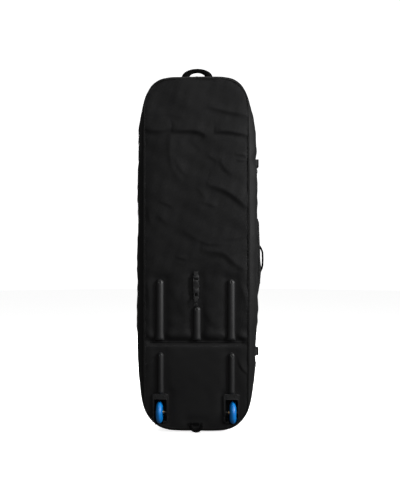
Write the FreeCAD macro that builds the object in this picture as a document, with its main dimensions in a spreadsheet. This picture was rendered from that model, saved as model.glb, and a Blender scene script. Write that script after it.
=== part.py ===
import FreeCAD, Part
import os
import re
import Sketcher

# A tall wheeled snowboard bag, standing on its base. Millimetres, +Z up, +X to the
# right when looking at the wheels, wheels towards -Y and the zipped lid towards +Y.
# The origin is the centre of the flat face that the bag stands on.

SIZES = {
    # shell outline, seen from the back: half widths and heights of its corners
    "base_half": 125,
    "base_z": 0,
    "heel_half": 190,
    "heel_z": 30,
    "flank_half": 219,
    "flank_z": 100,
    "full_half": 245,
    "crease_z": 372,
    "waist_z": 774,
    "chest_half": 236,
    "chest_z": 1235,
    "neck_half": 217,
    "neck_z": 1350,
    "crown_half": 195,
    "crown_z": 1410,
    "top_half": 140,
    "top_z": 1452,
    # shell depth: the outline narrows by edge_inset between shoulder_y and half_depth
    "half_depth": 120,
    "shoulder_y": 75,
    "edge_inset": 34,
    "panel": 10,
    "wall": 8,
    "piping": 4,
    # zip round the right side, the top and the base
    "zip_y": 72,
    "tape_width": 6,
    "tape_sink": 2,
    "tape_thick": 2,
    "coil_width": 1.7,
    "zip_gap": 0.3,
    "hinge_gap": 0.6,
    # sliders and their pulls
    "slider_long": 12,
    "slider_wide": 10,
    "slider_thick": 5.5,
    "slider_upper_z": 640,
    "slider_lower_z": 606,
    "slider_pin": 0.8,
    "pull_clearance": 0.06,
    "pull_long": 22,
    "pull_wide": 6,
    "pull_thick": 1.8,
    "pull_eye": 2.3,
    "lock_hole": 1.6,
    # rails on the back
    "rail_upper_left_x": 146.5,
    "rail_upper_right_x": 141.5,
    "rail_centre_x": 3,
    "rail_proud": 14,
    "rail_upper_wide": 35,
    "rail_upper_narrow": 31,
    "rail_upper_low": 378,
    "rail_upper_high": 623,
    "rail_centre_wide": 33,
    "rail_centre_high": 514,
    "rail_lower_wide": 27,
    "rail_lower_low": 162,
    "rail_lower_high": 328,
    "rail_corner": 12,
    "rail_round": 11.5,
    "screw_head": 4.5,
    "screw_head_tall": 2.5,
    "screw_shank": 2,
    "screw_bite": 8,
    "screw_inset": 24,
    "rivet_inset": 14,
    # wheels and their housings
    "housing_x": 143.5,
    "housing_low": 45,
    "housing_high": 161,
    "housing_half": 32.5,
    "housing_proud": 6,
    "housing_round": 12,
    "housing_edge": 3,
    "housing_brow": 21,
    "housing_screw_head": 2.9,
    "housing_screw_brow": 16.5,
    "housing_screw_rise": 22,
    "bucket_half": 28.5,
    "bucket_deep": 70,
    "bucket_wall": 2.5,
    "bucket_gap": 0.5,
    "wheel_x": 148.5,
    "wheel_y": 105,
    "wheel_z": 83,
    "wheel_radius": 45,
    "wheel_wide": 27,
    "tyre_round": 12.5,
    "wheel_room": 2,
    "core_radius": 27,
    "core_wide": 24,
    "bearing_radius": 11,
    "bearing_wide": 7,
    "axle_radius": 4,
    "axle_clearance": 0.05,
    "collar_radius": 6.5,
    "collar_long": 6,
    # stiffener and padding inside the back
    "board_half": 176,
    "board_low": 62,
    "board_high": 660,
    "board_thick": 3,
    "pad_half": 186,
    "pad_high": 1330,
    "pad_thick": 6,
    "inner_strap_half": 165,
    "inner_strap_wide": 38,
    "inner_strap_lower_z": 430,
    "inner_strap_upper_z": 980,
    # side-release buckle on the back
    "buckle_half": 13.5,
    "buckle_mouth_z": 589,
    "buckle_top_z": 638,
    "buckle_thick": 10,
    "buckle_stand": 3,
    "prong_half": 11,
    "prong_thick": 6,
    "prong_long": 27,
    "prong_gap": 0.4,
    "male_long": 45,
    "webbing": 2,
    # compression straps over the lid
    "strap_upper_z": 1106,
    "strap_lower_z": 315,
    "strap_half": 12.5,
    "strap_side_x": 243.5,
    "clip_out": 15,
    "clip_half": 16,
    "clip_mouth_y": 40,
    "clip_back_y": 6,
    "clip_front_y": 62,
    "clip_prong_long": 24,
    # handles
    "handle_half": 65,
    "handle_wide": 14,
    "handle_thick": 13,
    "handle_foot": 26,
    "handle_axis_z": 1461,
    "handle_top_z": 1500,
    "grip_low": 652,
    "grip_high": 755,
    "grip_axis_x": 252,
    "grip_out_x": 275,
    "grip_thick": 5,
    "grip_wide": 13,
    "grip_strap_low": 548,
    "grip_strap_high": 871,
    "base_handle_half": 30,
    "base_handle_y": 127.5,
    "base_handle_axis_z": 34,
    "base_handle_wide": 9,
    "base_handle_thick": 3,
    "base_handle_low": 7,
}

# Corners of the right half of the outline, from the base up: across, up, and the
# share of an inset that moves each corner inwards and upwards.
OUTLINE = {
    "base": ("base_half", "base_z", 0.2, 0.6),
    "heel": ("heel_half", "heel_z", 0.25, 0.42),
    "flank": ("flank_half", "flank_z", 0.3, 0.25),
    "crease": ("full_half", "crease_z", 1, 0),
    "waist": ("full_half", "waist_z", 1, 0),
    "chest": ("chest_half", "chest_z", 0.7, 0),
    "neck": ("neck_half", "neck_z", 0.3, -0.2),
    "crown": ("crown_half", "crown_z", 0.35, -0.45),
    "top": ("top_half", "top_z", 0.2, -0.6),
}
RIGHT = 1
LEFT = -1
SIDES = (("left", LEFT), ("right", RIGHT))

DOC = FreeCAD.newDocument("SnowboardBag")
SHEET = DOC.addObject("Spreadsheet::Sheet", "Sizes")
NODES = []


def fill_sheet():
    """Write every driving size into the sheet, with its name as the alias."""
    for row, (name, value) in enumerate(SIZES.items(), start=1):
        SHEET.set("A%d" % row, name)
        SHEET.set("B%d" % row, str(value))
        SHEET.setAlias("B%d" % row, name)
    DOC.recompute()


def bound(text):
    """Turn a formula in size names into an expression on the sheet's cells."""
    def cell(match):
        word = match.group(0)
        return "Sizes." + word if word in SIZES else word
    return re.sub(r"[a-z]+(_[a-z]+)*", cell, str(text))


def value(text):
    """The number that a formula in size names gives."""
    return float(SHEET.evalExpression(bound(text)))


def node(obj, label):
    """Give a finished sub-part its name and put it on the list to be written."""
    obj.Label = label
    NODES.append(obj)
    return obj


def draw_polygon(sketch, points):
    """Draw a closed polygon whose corners are bound to formulas."""
    corners = [FreeCAD.Vector(value(x), value(y), 0) for x, y in points]
    count = len(corners)
    for i in range(count):
        sketch.addGeometry(Part.LineSegment(corners[i], corners[(i + 1) % count]), False)
    for i in range(count):
        sketch.addConstraint(Sketcher.Constraint("Coincident", i, 2, (i + 1) % count, 1))
    for i, formulas in enumerate(points):
        for kind, formula, number in zip(("DistanceX", "DistanceY"), formulas, corners[i]):
            bind_distance(sketch, kind, i, formula, number)


def bind_distance(sketch, kind, corner, formula, number):
    """Hold one coordinate of a corner at the value of its formula."""
    if number >= 0:
        ends = (-1, 1, corner, 1)
        text = bound(formula)
    else:
        ends = (corner, 1, -1, 1)
        text = "-(%s)" % bound(formula)
    index = sketch.addConstraint(Sketcher.Constraint(kind, *ends, abs(number)))
    sketch.setExpression("Constraints[%d]" % index, text)


def plane(body, role):
    """One of a body's own origin planes."""
    return next(item for item in body.Origin.OriginFeatures if item.Role == role)


def prism(label, role, start, length, points):
    """A body padded from a polygon on an origin plane, from start along its normal."""
    body = DOC.addObject("PartDesign::Body", label + "_body")
    sketch = body.newObject("Sketcher::SketchObject", label + "_sketch")
    sketch.AttachmentSupport = (plane(body, role), [""])
    sketch.MapMode = "FlatFace"
    sketch.setExpression("AttachmentOffset.Base.z", bound(start))
    draw_polygon(sketch, points)
    pad = body.newObject("PartDesign::Pad", label + "_pad")
    pad.Profile = sketch
    pad.setExpression("Length", bound(length))
    DOC.recompute()
    return body


def across_prism(label, front, depth, points):
    """A prism drawn in X and Z whose front face is at Y = front and goes towards -Y."""
    return prism(label, "XZ_Plane", "-(%s)" % front, depth, points)


def upright_prism(label, low, tall, points):
    """A prism drawn in X and Y that stands on Z = low."""
    return prism(label, "XY_Plane", low, tall, points)


def rectangle(low_a, high_a, low_b, high_b):
    """The corner formulas of a rectangle."""
    return [(low_a, low_b), (high_a, low_b), (high_a, high_b), (low_a, high_b)]


def round_edges(body, radius, chosen):
    """Fillet the edges of a body's tip whose middle point passes a test."""
    tip = body.Tip
    names = []
    for i, edge in enumerate(tip.Shape.Edges, start=1):
        if chosen(edge):
            names.append("Edge%d" % i)
    fillet = body.newObject("PartDesign::Fillet", body.Name + "_round")
    fillet.Base = (tip, names)
    fillet.setExpression("Radius", bound(radius))
    DOC.recompute()
    return body


def middle(edge):
    """The point halfway along a straight edge."""
    return edge.CenterOfMass


def along(edge, axis):
    """Whether a straight edge runs along the given axis."""
    ends = edge.Vertexes[-1].Point - edge.Vertexes[0].Point
    return abs(abs(ends.normalize().dot(axis)) - 1) < 1e-6


def cylinder(label, radius, length, x, y, z, axis):
    """A cylinder that starts at a point and runs along an axis."""
    obj = DOC.addObject("Part::Cylinder", label)
    obj.setExpression("Radius", bound(radius))
    obj.setExpression("Height", bound(length))
    rotation = FreeCAD.Rotation(FreeCAD.Vector(0, 0, 1), axis)
    obj.Placement = FreeCAD.Placement(FreeCAD.Vector(), rotation)
    for name, formula in (("x", x), ("y", y), ("z", z)):
        obj.setExpression("Placement.Base." + name, bound(formula))
    return obj


def box(label, x, y, z, long, deep, tall):
    """A box from its low corner and its three lengths."""
    obj = DOC.addObject("Part::Box", label)
    for name, formula in (("Length", long), ("Width", deep), ("Height", tall)):
        obj.setExpression(name, bound(formula))
    for name, formula in (("x", x), ("y", y), ("z", z)):
        obj.setExpression("Placement.Base." + name, bound(formula))
    return obj


def cut(label, base, tool):
    """One solid with another taken out of it."""
    obj = DOC.addObject("Part::Cut", label)
    obj.Base = base
    obj.Tool = tool
    return obj


def joined(label, *shapes):
    """Several solids made into one."""
    obj = DOC.addObject("Part::MultiFuse", label)
    obj.Shapes = list(shapes)
    return obj


def group(label, *shapes):
    """Several separate solids kept together."""
    obj = DOC.addObject("Part::Compound", label)
    obj.Links = list(shapes)
    return obj


# ---------------------------------------------------------------- soft shell

INSET_AT_PANEL = "edge_inset * (half_depth - panel - shoulder_y) / (half_depth - shoulder_y)"
RIM_START = "zip_y + tape_width"
CUP_TALL = "housing_high - housing_brow - housing_low"
SUMP_RADIUS = "wheel_radius + wheel_room + bucket_wall"
SUMP_WIDE = "wheel_wide + 2 * (wheel_room + bucket_wall)"
INSET_AT_RIM = "edge_inset * (zip_y + tape_width - shoulder_y) / (half_depth - shoulder_y)"

BASE_RUN = [("crease", RIGHT), ("flank", RIGHT), ("heel", RIGHT), ("base", RIGHT),
            ("base", LEFT), ("heel", LEFT), ("flank", LEFT), ("crease", LEFT)]
TOP_RUN = [("chest", LEFT), ("neck", LEFT), ("crown", LEFT), ("top", LEFT),
           ("top", RIGHT), ("crown", RIGHT), ("neck", RIGHT), ("chest", RIGHT)]
RIGHT_RUN = [("chest", RIGHT), ("waist", RIGHT), ("crease", RIGHT)]
LEFT_RUN = [("crease", LEFT), ("waist", LEFT), ("chest", LEFT)]
WHOLE_RUN = [(name, RIGHT) for name in OUTLINE] + [(name, LEFT) for name in reversed(OUTLINE)]
ZIP_RUN = [("top", LEFT)] + [(name, RIGHT) for name in reversed(OUTLINE)] + [("base", LEFT)]
HINGE_RUN = [(name, LEFT) for name in OUTLINE]


def corner(name, side, inset):
    """The formulas of one outline corner moved inwards by an inset."""
    across, up, share_x, share_z = OUTLINE[name]
    return ("%d * (%s - %s * (%s))" % (side, across, share_x, inset),
            "%s + %s * (%s)" % (up, share_z, inset))


def strip(run, outer, thick):
    """A closed strip that follows part of the outline, thick towards the inside."""
    outside = [corner(name, side, outer) for name, side in run]
    inner = "(%s) + (%s)" % (outer, thick)
    inside = [corner(name, side, inner) for name, side in reversed(run)]
    return outside + inside


def station(label, y, points):
    """A polygon in X and Z at one place along Y."""
    sketch = DOC.addObject("Sketcher::SketchObject", label)
    turn = FreeCAD.Rotation(FreeCAD.Vector(1, 0, 0), 90)
    sketch.Placement = FreeCAD.Placement(FreeCAD.Vector(), turn)
    sketch.setExpression("Placement.Base.y", bound(y))
    draw_polygon(sketch, points)
    return sketch


def lofted(label, stations):
    """A solid through polygons at several places along Y."""
    loft = DOC.addObject("Part::Loft", label)
    loft.Sections = [station("%s_at_%d" % (label, i), y, points)
                     for i, (y, points) in enumerate(stations)]
    loft.Solid = True
    loft.Ruled = True
    return loft


def outline_slab(label, near, near_inset, far, far_inset):
    """A slab with the whole outline of the bag, between two depths."""
    return lofted(label, [(near, [corner(n, s, near_inset) for n, s in WHOLE_RUN]),
                          (far, [corner(n, s, far_inset) for n, s in WHOLE_RUN])])


def body_wall(label, run):
    """A wall of the main compartment, from the back panel to the zip."""
    return lofted(label, [("-half_depth + panel", strip(run, INSET_AT_PANEL, "wall")),
                          ("-shoulder_y", strip(run, "0", "wall")),
                          ("zip_y - tape_width", strip(run, "0", "wall"))])


def lid_wall(label, run):
    """A wall of the lid's rim, from the zip to the lid panel."""
    return lofted(label, [(RIM_START, strip(run, INSET_AT_RIM, "wall")),
                          ("half_depth - panel", strip(run, INSET_AT_PANEL, "wall"))])


def round_room(label, side, radius, wide):
    """A cylinder on a wheel's axle, as far inside its housing as outside."""
    return cylinder(label, radius, wide, "%d * wheel_x - (%s) / 2" % (side, wide), "-wheel_y",
                    "wheel_z", FreeCAD.Vector(1, 0, 0))


def wheel_wells(label):
    """The two spaces that the wheel housings fill, a little larger than they are."""
    wells = []
    for name, side in SIDES:
        low_x = "%d * housing_x - bucket_half - bucket_gap" % side
        wells.append(box("%s_%s" % (label, name), low_x, "-half_depth - 20",
                         "housing_low + bucket_wall - bucket_gap", "2 * (bucket_half + bucket_gap)",
                         "bucket_deep + 20 + bucket_gap", "%s + 2 * bucket_gap" % CUP_TALL))
        wells.append(round_room("%s_round_%s" % (label, name), side, SUMP_RADIUS + " + bucket_gap",
                                SUMP_WIDE + " + 2 * bucket_gap"))
    return joined(label, *wells)


def build_shell():
    """Back panel, base, sides and top of the main compartment."""
    panel_slab = outline_slab("back_slab", "-half_depth", "edge_inset",
                              "-half_depth + panel", INSET_AT_PANEL)
    node(cut("back_panel_cut", panel_slab, wheel_wells("panel_wells")), "back_panel")
    base = body_wall("base_ring", BASE_RUN)
    node(cut("base_cut", base, wheel_wells("base_wells")), "base_shell")
    node(body_wall("right_wall", RIGHT_RUN), "side_wall_right")
    node(body_wall("left_wall", LEFT_RUN), "side_wall_left")
    node(body_wall("top_ring", TOP_RUN), "top_wall")


def piping_ring(label, low_y, high_y):
    """A cord sewn round a panel's edge, as a square strip on top of the seam."""
    rings = []
    for tag, inset in (("outer", "edge_inset"), ("inner", "edge_inset + piping")):
        rings.append(outline_slab("%s_%s" % (label, tag), low_y, inset, high_y, inset))
    return cut(label + "_ring", *rings)


def build_lid():
    """Lid panel and the four walls of its rim."""
    node(outline_slab("lid_slab", "half_depth - panel", INSET_AT_PANEL,
                      "half_depth", "edge_inset"), "lid_panel")
    node(lid_wall("lid_base_ring", BASE_RUN), "lid_rim_base")
    node(lid_wall("lid_right", RIGHT_RUN), "lid_rim_right")
    node(lid_wall("lid_left", LEFT_RUN), "lid_rim_left")
    node(lid_wall("lid_top_ring", TOP_RUN), "lid_rim_top")


def build_piping():
    """Corded seams on the outer faces of the back panel and the lid panel."""
    node(piping_ring("back_piping", "-half_depth - piping", "-half_depth"), "piping_back")
    node(piping_ring("lid_piping", "half_depth", "half_depth + piping"), "piping_lid")


def build_zip():
    """Zip tapes and coil halves round three sides, and the hinge cloth on the fourth."""
    halves = (("body", "zip_y - tape_width", "zip_y - zip_gap", "zip_y - coil_width - zip_gap"),
              ("lid", "zip_y + zip_gap", "zip_y + tape_width", "zip_y + zip_gap"))
    for name, tape_low, tape_high, coil_low in halves:
        tape = strip(ZIP_RUN, "tape_sink", "tape_thick")
        node(across_prism("tape_" + name, tape_high, "(%s) - (%s)" % (tape_high, tape_low), tape),
             "zip_tape_" + name)
        coil = strip(ZIP_RUN, "zip_gap", "tape_sink - 2 * zip_gap")
        node(across_prism("coil_" + name, "(%s) + coil_width" % coil_low, "coil_width", coil),
             "zip_coil_" + name)
    cloth = strip(HINGE_RUN, "hinge_gap", "tape_thick")
    node(across_prism("hinge_cloth", "zip_y + tape_width / 3", "tape_width * 4 / 3", cloth),
         "lid_hinge_cloth")


# ---------------------------------------------------------------- zip sliders

def build_slider(name, height):
    """A slider outside the coil with two ears and a pin, and the pull that hangs on it."""
    inner_x = "full_half + zip_gap"
    pin_x = "full_half + zip_gap + slider_thick + pull_eye + 0.5"
    pin_z = "%s + 2" % height
    block = box("slider_block_" + name, inner_x, "zip_y - slider_wide / 2",
                "%s - slider_long / 2" % height, "slider_thick", "slider_wide", "slider_long")
    ears = []
    for tag, side in SIDES:
        low_y = "zip_y + %d * (slider_wide / 2 - 0.6) - 0.6" % side
        ears.append(box("slider_ear_%s_%s" % (name, tag), inner_x, low_y, "%s - 1" % pin_z,
                        "slider_thick + 2 * pull_eye", "1.2", "2"))
    pin = cylinder("slider_pin_" + name, "slider_pin", "slider_wide - 1", pin_x,
                   "zip_y - slider_wide / 2 + 0.5", pin_z, FreeCAD.Vector(0, 1, 0))
    node(joined("slider_" + name, block, pin, *ears), "zip_slider_" + name)
    blade = box("pull_blade_" + name, "%s - pull_thick / 2" % pin_x, "zip_y - pull_wide / 2",
                "%s - pull_long" % pin_z, "pull_thick", "pull_wide", "pull_long")
    eye = cylinder("pull_eye_" + name, "pull_eye", "pull_wide", pin_x, "zip_y - pull_wide / 2",
                   pin_z, FreeCAD.Vector(0, 1, 0))
    hole = cylinder("pull_hole_" + name, "slider_pin + pull_clearance", "pull_wide + 2", pin_x,
                    "zip_y - pull_wide / 2 - 1", pin_z, FreeCAD.Vector(0, 1, 0))
    lock = cylinder("pull_lock_" + name, "lock_hole", "pull_thick + 2",
                    "%s - pull_thick / 2 - 1" % pin_x, "zip_y",
                    "%s - pull_long + 4" % pin_z, FreeCAD.Vector(1, 0, 0))
    solid = joined("pull_solid_" + name, blade, eye)
    drilled = cut("pull_bored_" + name, solid, hole)
    node(cut("pull_" + name, drilled, lock), "zip_pull_" + name)


# ---------------------------------------------------------------- rails

def rail(label, centre, low, high, wide, narrow):
    """A half-round skid strip with rounded ends that stands on the back panel."""
    points = [("%s - (%s) / 2" % (centre, wide), low), ("%s + (%s) / 2" % (centre, wide), low),
              ("%s + (%s) / 2" % (centre, narrow), high), ("%s - (%s) / 2" % (centre, narrow), high)]
    body = across_prism(label, "-half_depth - 0.2", "rail_proud - 0.2", points)
    face = -value("half_depth + rail_proud")
    round_edges(body, "rail_corner", lambda edge: along(edge, FreeCAD.Vector(0, 1, 0)))
    round_edges(body, "rail_round", lambda edge: abs(middle(edge).y - face) < 0.01)
    return body


def screw(label, centre, head_y, height, head_radius, shank_long, way):
    """A pan-head screw with its head's underside at head_y; way is where the head points."""
    head = cylinder(label + "_head", head_radius, "screw_head_tall", centre, head_y, height,
                    FreeCAD.Vector(0, way, 0))
    shank = cylinder(label + "_shank", "screw_shank", shank_long, centre, head_y, height,
                     FreeCAD.Vector(0, -way, 0))
    return joined(label, head, shank)


def riveted(label, body, centre, height):
    """A rail with a round pocket near its top end for a rivet."""
    seat = cylinder(label + "_seat", "screw_head + 0.3", "rail_proud", centre,
                    "-half_depth - rail_proud / 2", height, FreeCAD.Vector(0, -1, 0))
    bore = cylinder(label + "_bore", "screw_shank + 0.1", "rail_proud", centre, "-half_depth",
                    height, FreeCAD.Vector(0, -1, 0))
    return cut(label + "_drilled", body, joined(label + "_tools", seat, bore))


def build_rails():
    """Five skid strips, the screws driven into them from inside, and two outer rivets."""
    inside_y = "-half_depth + panel + board_thick"
    plans = [("rail_centre", "rail_centre_x", "rail_upper_low", "rail_centre_high",
              "rail_centre_wide", "rail_centre_wide")]
    for name, side in SIDES:
        plans.append(("rail_upper_" + name, "%d * rail_upper_%s_x" % (side, name), "rail_upper_low",
                      "rail_upper_high", "rail_upper_wide", "rail_upper_narrow"))
        plans.append(("rail_lower_" + name, "%d * housing_x" % side, "rail_lower_low",
                      "rail_lower_high", "rail_lower_wide", "rail_lower_wide - 1"))
    screws = []
    for label, centre, low, high, wide, narrow in plans:
        solid = rail(label + "_blank", centre, low, high, wide, narrow)
        heights = ["%s + screw_inset" % low, "%s - screw_inset" % high]
        if "lower" in label:
            spot = "%s - rivet_inset" % high
            solid = riveted(label, solid, centre, spot)
            screws.append(screw(label + "_rivet", centre, "-half_depth - rail_proud / 2 - 0.05",
                                spot, "screw_head", "rail_proud / 2 + panel", -1))
            heights = heights[:1]
        node(solid, label)
        for i, height in enumerate(heights):
            screws.append(screw("%s_screw_%d" % (label, i), centre, inside_y, height, "screw_head",
                                "board_thick + panel + screw_bite", 1))
    node(group("rail_screw_set", *screws), "rail_screws")


# ---------------------------------------------------------------- wheels

def build_housing(name, side):
    """A moulded frame on the back with a cup behind it that the wheel turns in. The cup is
    round below the axle, and the frame is open there, so the wheel reaches past its low edge."""
    centre = "%d * housing_x" % side
    frame = across_prism("frame_" + name, "-half_depth - 0.2", "housing_proud",
                         rectangle("%s - housing_half" % centre, "%s + housing_half" % centre,
                                   "housing_low", "housing_high"))
    round_edges(frame, "housing_round", lambda edge: along(edge, FreeCAD.Vector(0, 1, 0)))
    face = -value("half_depth + 0.2 + housing_proud")
    round_edges(frame, "housing_edge", lambda edge: abs(middle(edge).y - face) < 0.01)
    cup = box("cup_" + name, "%s - bucket_half" % centre, "-half_depth - 0.2",
              "housing_low + bucket_wall", "2 * bucket_half", "bucket_deep", CUP_TALL)
    sump = cut("sump_" + name, round_room("sump_round_" + name, side, SUMP_RADIUS, SUMP_WIDE),
               box("sump_front_" + name, "%s - housing_half" % centre, "-2 * half_depth", "0",
                   "2 * housing_half", "half_depth", "housing_high"))
    well = box("well_" + name, "%s - bucket_half + bucket_wall" % centre,
               "-half_depth - housing_proud - 1", "housing_low + 2 * bucket_wall",
               "2 * (bucket_half - bucket_wall)",
               "bucket_deep + housing_proud + 1 - bucket_wall", CUP_TALL + " - 2 * bucket_wall")
    sweep = round_room("sweep_" + name, side, "wheel_radius + wheel_room",
                       "wheel_wide + 2 * wheel_room")
    axle_hole = cylinder("axle_hole_" + name, "axle_radius", "2 * bucket_half + 2",
                         "%s - bucket_half - 1" % centre, "-wheel_y", "wheel_z",
                         FreeCAD.Vector(1, 0, 0))
    hollow = cut("housing_open_" + name, joined("housing_solid_" + name, frame, cup, sump),
                 joined("housing_room_" + name, well, sweep))
    node(cut("housing_" + name, hollow, axle_hole), "wheel_housing_" + name)


def build_wheel(name, side):
    """Tyre, core, bearings and axle of one wheel, all turning about X."""
    middle_x = "%d * wheel_x" % side
    spin = FreeCAD.Vector(1, 0, 0)

    def disc(label, radius, wide, offset="0"):
        return cylinder(label + "_" + name, radius, wide,
                        "%s + (%s) - (%s) / 2" % (middle_x, offset, wide), "-wheel_y", "wheel_z", spin)

    tyre = cut("tyre_ring_" + name, disc("tyre_outer", "wheel_radius", "wheel_wide"),
               disc("tyre_inner", "core_radius", "wheel_wide + 2"))
    DOC.recompute()
    soft = DOC.addObject("Part::Fillet", "tyre_" + name)
    soft.Base = tyre
    rounding = value("tyre_round")
    soft.Edges = [(i, rounding, rounding) for i, edge in enumerate(tyre.Shape.Edges, start=1)
                  if hasattr(edge.Curve, "Radius") and edge.Curve.Radius > value("wheel_radius") - 1]
    node(soft, "tyre_" + name)
    core = cut("core_ring_" + name, disc("core_outer", "core_radius", "core_wide"),
               disc("core_bore", "bearing_radius", "core_wide + 2"))
    node(core, "wheel_core_" + name)
    rings = []
    for tag, end in SIDES:
        offset = "%d * (core_wide - bearing_wide) / 2" % end
        rings.append(cut("bearing_%s_%s" % (name, tag),
                         disc("bearing_outer_" + tag, "bearing_radius", "bearing_wide", offset),
                         disc("bearing_bore_" + tag, "axle_radius + axle_clearance",
                              "bearing_wide + 2", offset)))
    node(group("bearing_pair_" + name, *rings), "wheel_bearings_" + name)
    shaft = cylinder("axle_shaft_" + name, "axle_radius", "2 * bucket_half - 1",
                     "%d * housing_x - bucket_half + 0.5" % side, "-wheel_y", "wheel_z", spin)
    parts = [shaft]
    inner = "-(%d) * (core_wide / 2 + 0.6 + collar_long / 2)" % side
    parts.append(disc("axle_collar", "collar_radius", "collar_long", inner))
    outer = "%d * (core_wide / 2 + 2.1)" % side
    parts.append(disc("axle_washer", "collar_radius", "3", outer))
    node(joined("axle_" + name, *parts), "axle_" + name)


def build_housing_screws():
    """Four small screws in each wheel housing's frame: two in its brow and two low down."""
    low = ("housing_half - housing_screw_head - 0.4", "housing_low + housing_screw_rise")
    high = ("housing_screw_brow", "housing_high - housing_brow / 2")
    screws = []
    for name, side in SIDES:
        for tag, end in SIDES:
            for edge, (out, height) in (("low", low), ("high", high)):
                screws.append(screw("housing_screw_%s_%s_%s" % (name, tag, edge),
                                    "%d * housing_x + %d * (%s)" % (side, end, out),
                                    "-half_depth - 0.2 - housing_proud", height,
                                    "housing_screw_head", "housing_proud + panel - 1", -1))
    node(group("housing_screw_set", *screws), "housing_screws")


# ---------------------------------------------------------------- inside the back

def build_inside():
    """Stiffener board behind the rails, padding above it and straps for the board."""
    board = across_prism("board_blank", "-half_depth + panel + board_thick", "board_thick",
                         rectangle("-board_half", "board_half", "board_low", "board_high"))
    node(cut("board_cut", board, wheel_wells("board_wells")), "stiffener_board")
    node(across_prism("padding", "-half_depth + panel + pad_thick", "pad_thick",
                      rectangle("-pad_half", "pad_half", "board_high + 2", "pad_high")),
         "back_padding")
    node(across_prism("lid_foam", "half_depth - panel", "pad_thick",
                      rectangle("-pad_half", "pad_half", "board_low + 60", "pad_high")),
         "lid_padding")
    for name, height, rests in (("lower", "inner_strap_lower_z", "board_thick"),
                                ("upper", "inner_strap_upper_z", "pad_thick")):
        node(across_prism("inner_strap_" + name, "-half_depth + panel + %s + webbing" % rests,
                          "webbing", rectangle("-inner_strap_half", "inner_strap_half",
                                               "%s - inner_strap_wide / 2" % height,
                                               "%s + inner_strap_wide / 2" % height)),
             "board_strap_" + name)


# ---------------------------------------------------------------- back buckle

def build_back_buckle():
    """A side-release buckle in the middle of the back, above the centre rail."""
    back = "-half_depth - buckle_stand"
    node(across_prism("tab", "-half_depth - 0.2", "webbing",
                      rectangle("-prong_half + 1", "prong_half - 1", "buckle_mouth_z - 60",
                                "buckle_top_z + 18")), "back_buckle_webbing")
    shell = across_prism("female_blank", back, "buckle_thick",
                         rectangle("-buckle_half", "buckle_half", "buckle_mouth_z", "buckle_top_z"))
    slot = box("female_slot", "-prong_half - prong_gap",
               "%s - buckle_thick / 2 - prong_thick / 2 - prong_gap" % back,
               "buckle_mouth_z - 1", "2 * (prong_half + prong_gap)", "prong_thick + 2 * prong_gap",
               "prong_long + 2")
    bar = box("female_bar_slot", "-prong_half + 1", "%s - buckle_thick - 1" % back,
              "buckle_top_z - 12", "2 * prong_half - 2", "buckle_thick + 2", "6")
    node(cut("female", shell, joined("female_tools", slot, bar)), "back_buckle_female")
    base = across_prism("male_base", back, "buckle_thick",
                        rectangle("-buckle_half", "buckle_half", "buckle_mouth_z - male_long",
                                  "buckle_mouth_z - prong_gap"))
    prongs = box("male_prongs", "-prong_half", "%s - buckle_thick / 2 - prong_thick / 2" % back,
                 "buckle_mouth_z - 1", "2 * prong_half", "prong_thick", "prong_long")
    node(joined("male", base, prongs), "back_buckle_male")


# ---------------------------------------------------------------- compression straps

def build_strap(name, height):
    """A webbing strap over the lid with a buckle on the right side."""
    low = "%s - strap_half" % height
    face = "half_depth + piping + 0.4"
    turn_x = "full_half - edge_inset + 6"
    path = [("-full_half + edge_inset + 20", face), (turn_x, face),
            ("strap_side_x + 2", RIM_START), ("strap_side_x + 2", "clip_front_y"),
            ("strap_side_x + 2 + webbing", "clip_front_y"), ("strap_side_x + 2 + webbing", RIM_START),
            ("%s + webbing" % turn_x, "%s + webbing" % face),
            ("-full_half + edge_inset + 20", "%s + webbing" % face)]
    node(upright_prism("strap_" + name, low, "2 * strap_half", path), "lid_strap_" + name)
    clip_low = "%s - clip_half" % height
    male = upright_prism("clip_male_base_" + name, clip_low, "2 * clip_half",
                         [("strap_side_x + 2", "clip_mouth_y + prong_gap"),
                          ("strap_side_x + clip_out", "clip_mouth_y + prong_gap"),
                          ("strap_side_x + clip_out", "clip_front_y - 8"),
                          ("strap_side_x + 8", "clip_front_y - 0.3"),
                          ("strap_side_x + 2", "clip_front_y - 0.3")])
    prongs = box("clip_prongs_" + name, "strap_side_x + 5", "clip_mouth_y - clip_prong_long",
                 "%s - clip_half + 4" % height, "prong_thick", "clip_prong_long + 2",
                 "2 * clip_half - 8")
    node(joined("clip_male_" + name, male, prongs), "strap_clip_male_" + name)
    female = upright_prism("clip_female_blank_" + name, clip_low, "2 * clip_half",
                           rectangle("strap_side_x + 2", "strap_side_x + clip_out",
                                     "clip_back_y", "clip_mouth_y"))
    slot = box("clip_slot_" + name, "strap_side_x + 5 - prong_gap - 0.4",
               "clip_mouth_y - clip_prong_long - 2", "%s - clip_half + 4 - prong_gap - 0.3" % height,
               "prong_thick + 2 * prong_gap + 0.8", "clip_prong_long + 3",
               "2 * clip_half - 8 + 2 * prong_gap + 0.6")
    node(cut("clip_female_" + name, female, slot), "strap_clip_female_" + name)
    return upright_prism("clip_tab_" + name, low, "2 * strap_half",
                         rectangle("strap_side_x + 1.8 - webbing / 2", "strap_side_x + 1.8",
                                   "-clip_mouth_y", "clip_mouth_y - 10"))


# ---------------------------------------------------------------- handles

def arch(outer, inner):
    """A loop's corners from the right half of its outer and inner lines, foot first."""
    def mirrored(points):
        return [("-(%s)" % across, up) for across, up in points]
    return outer + mirrored(outer)[::-1] + mirrored(inner) + inner[::-1]


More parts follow.
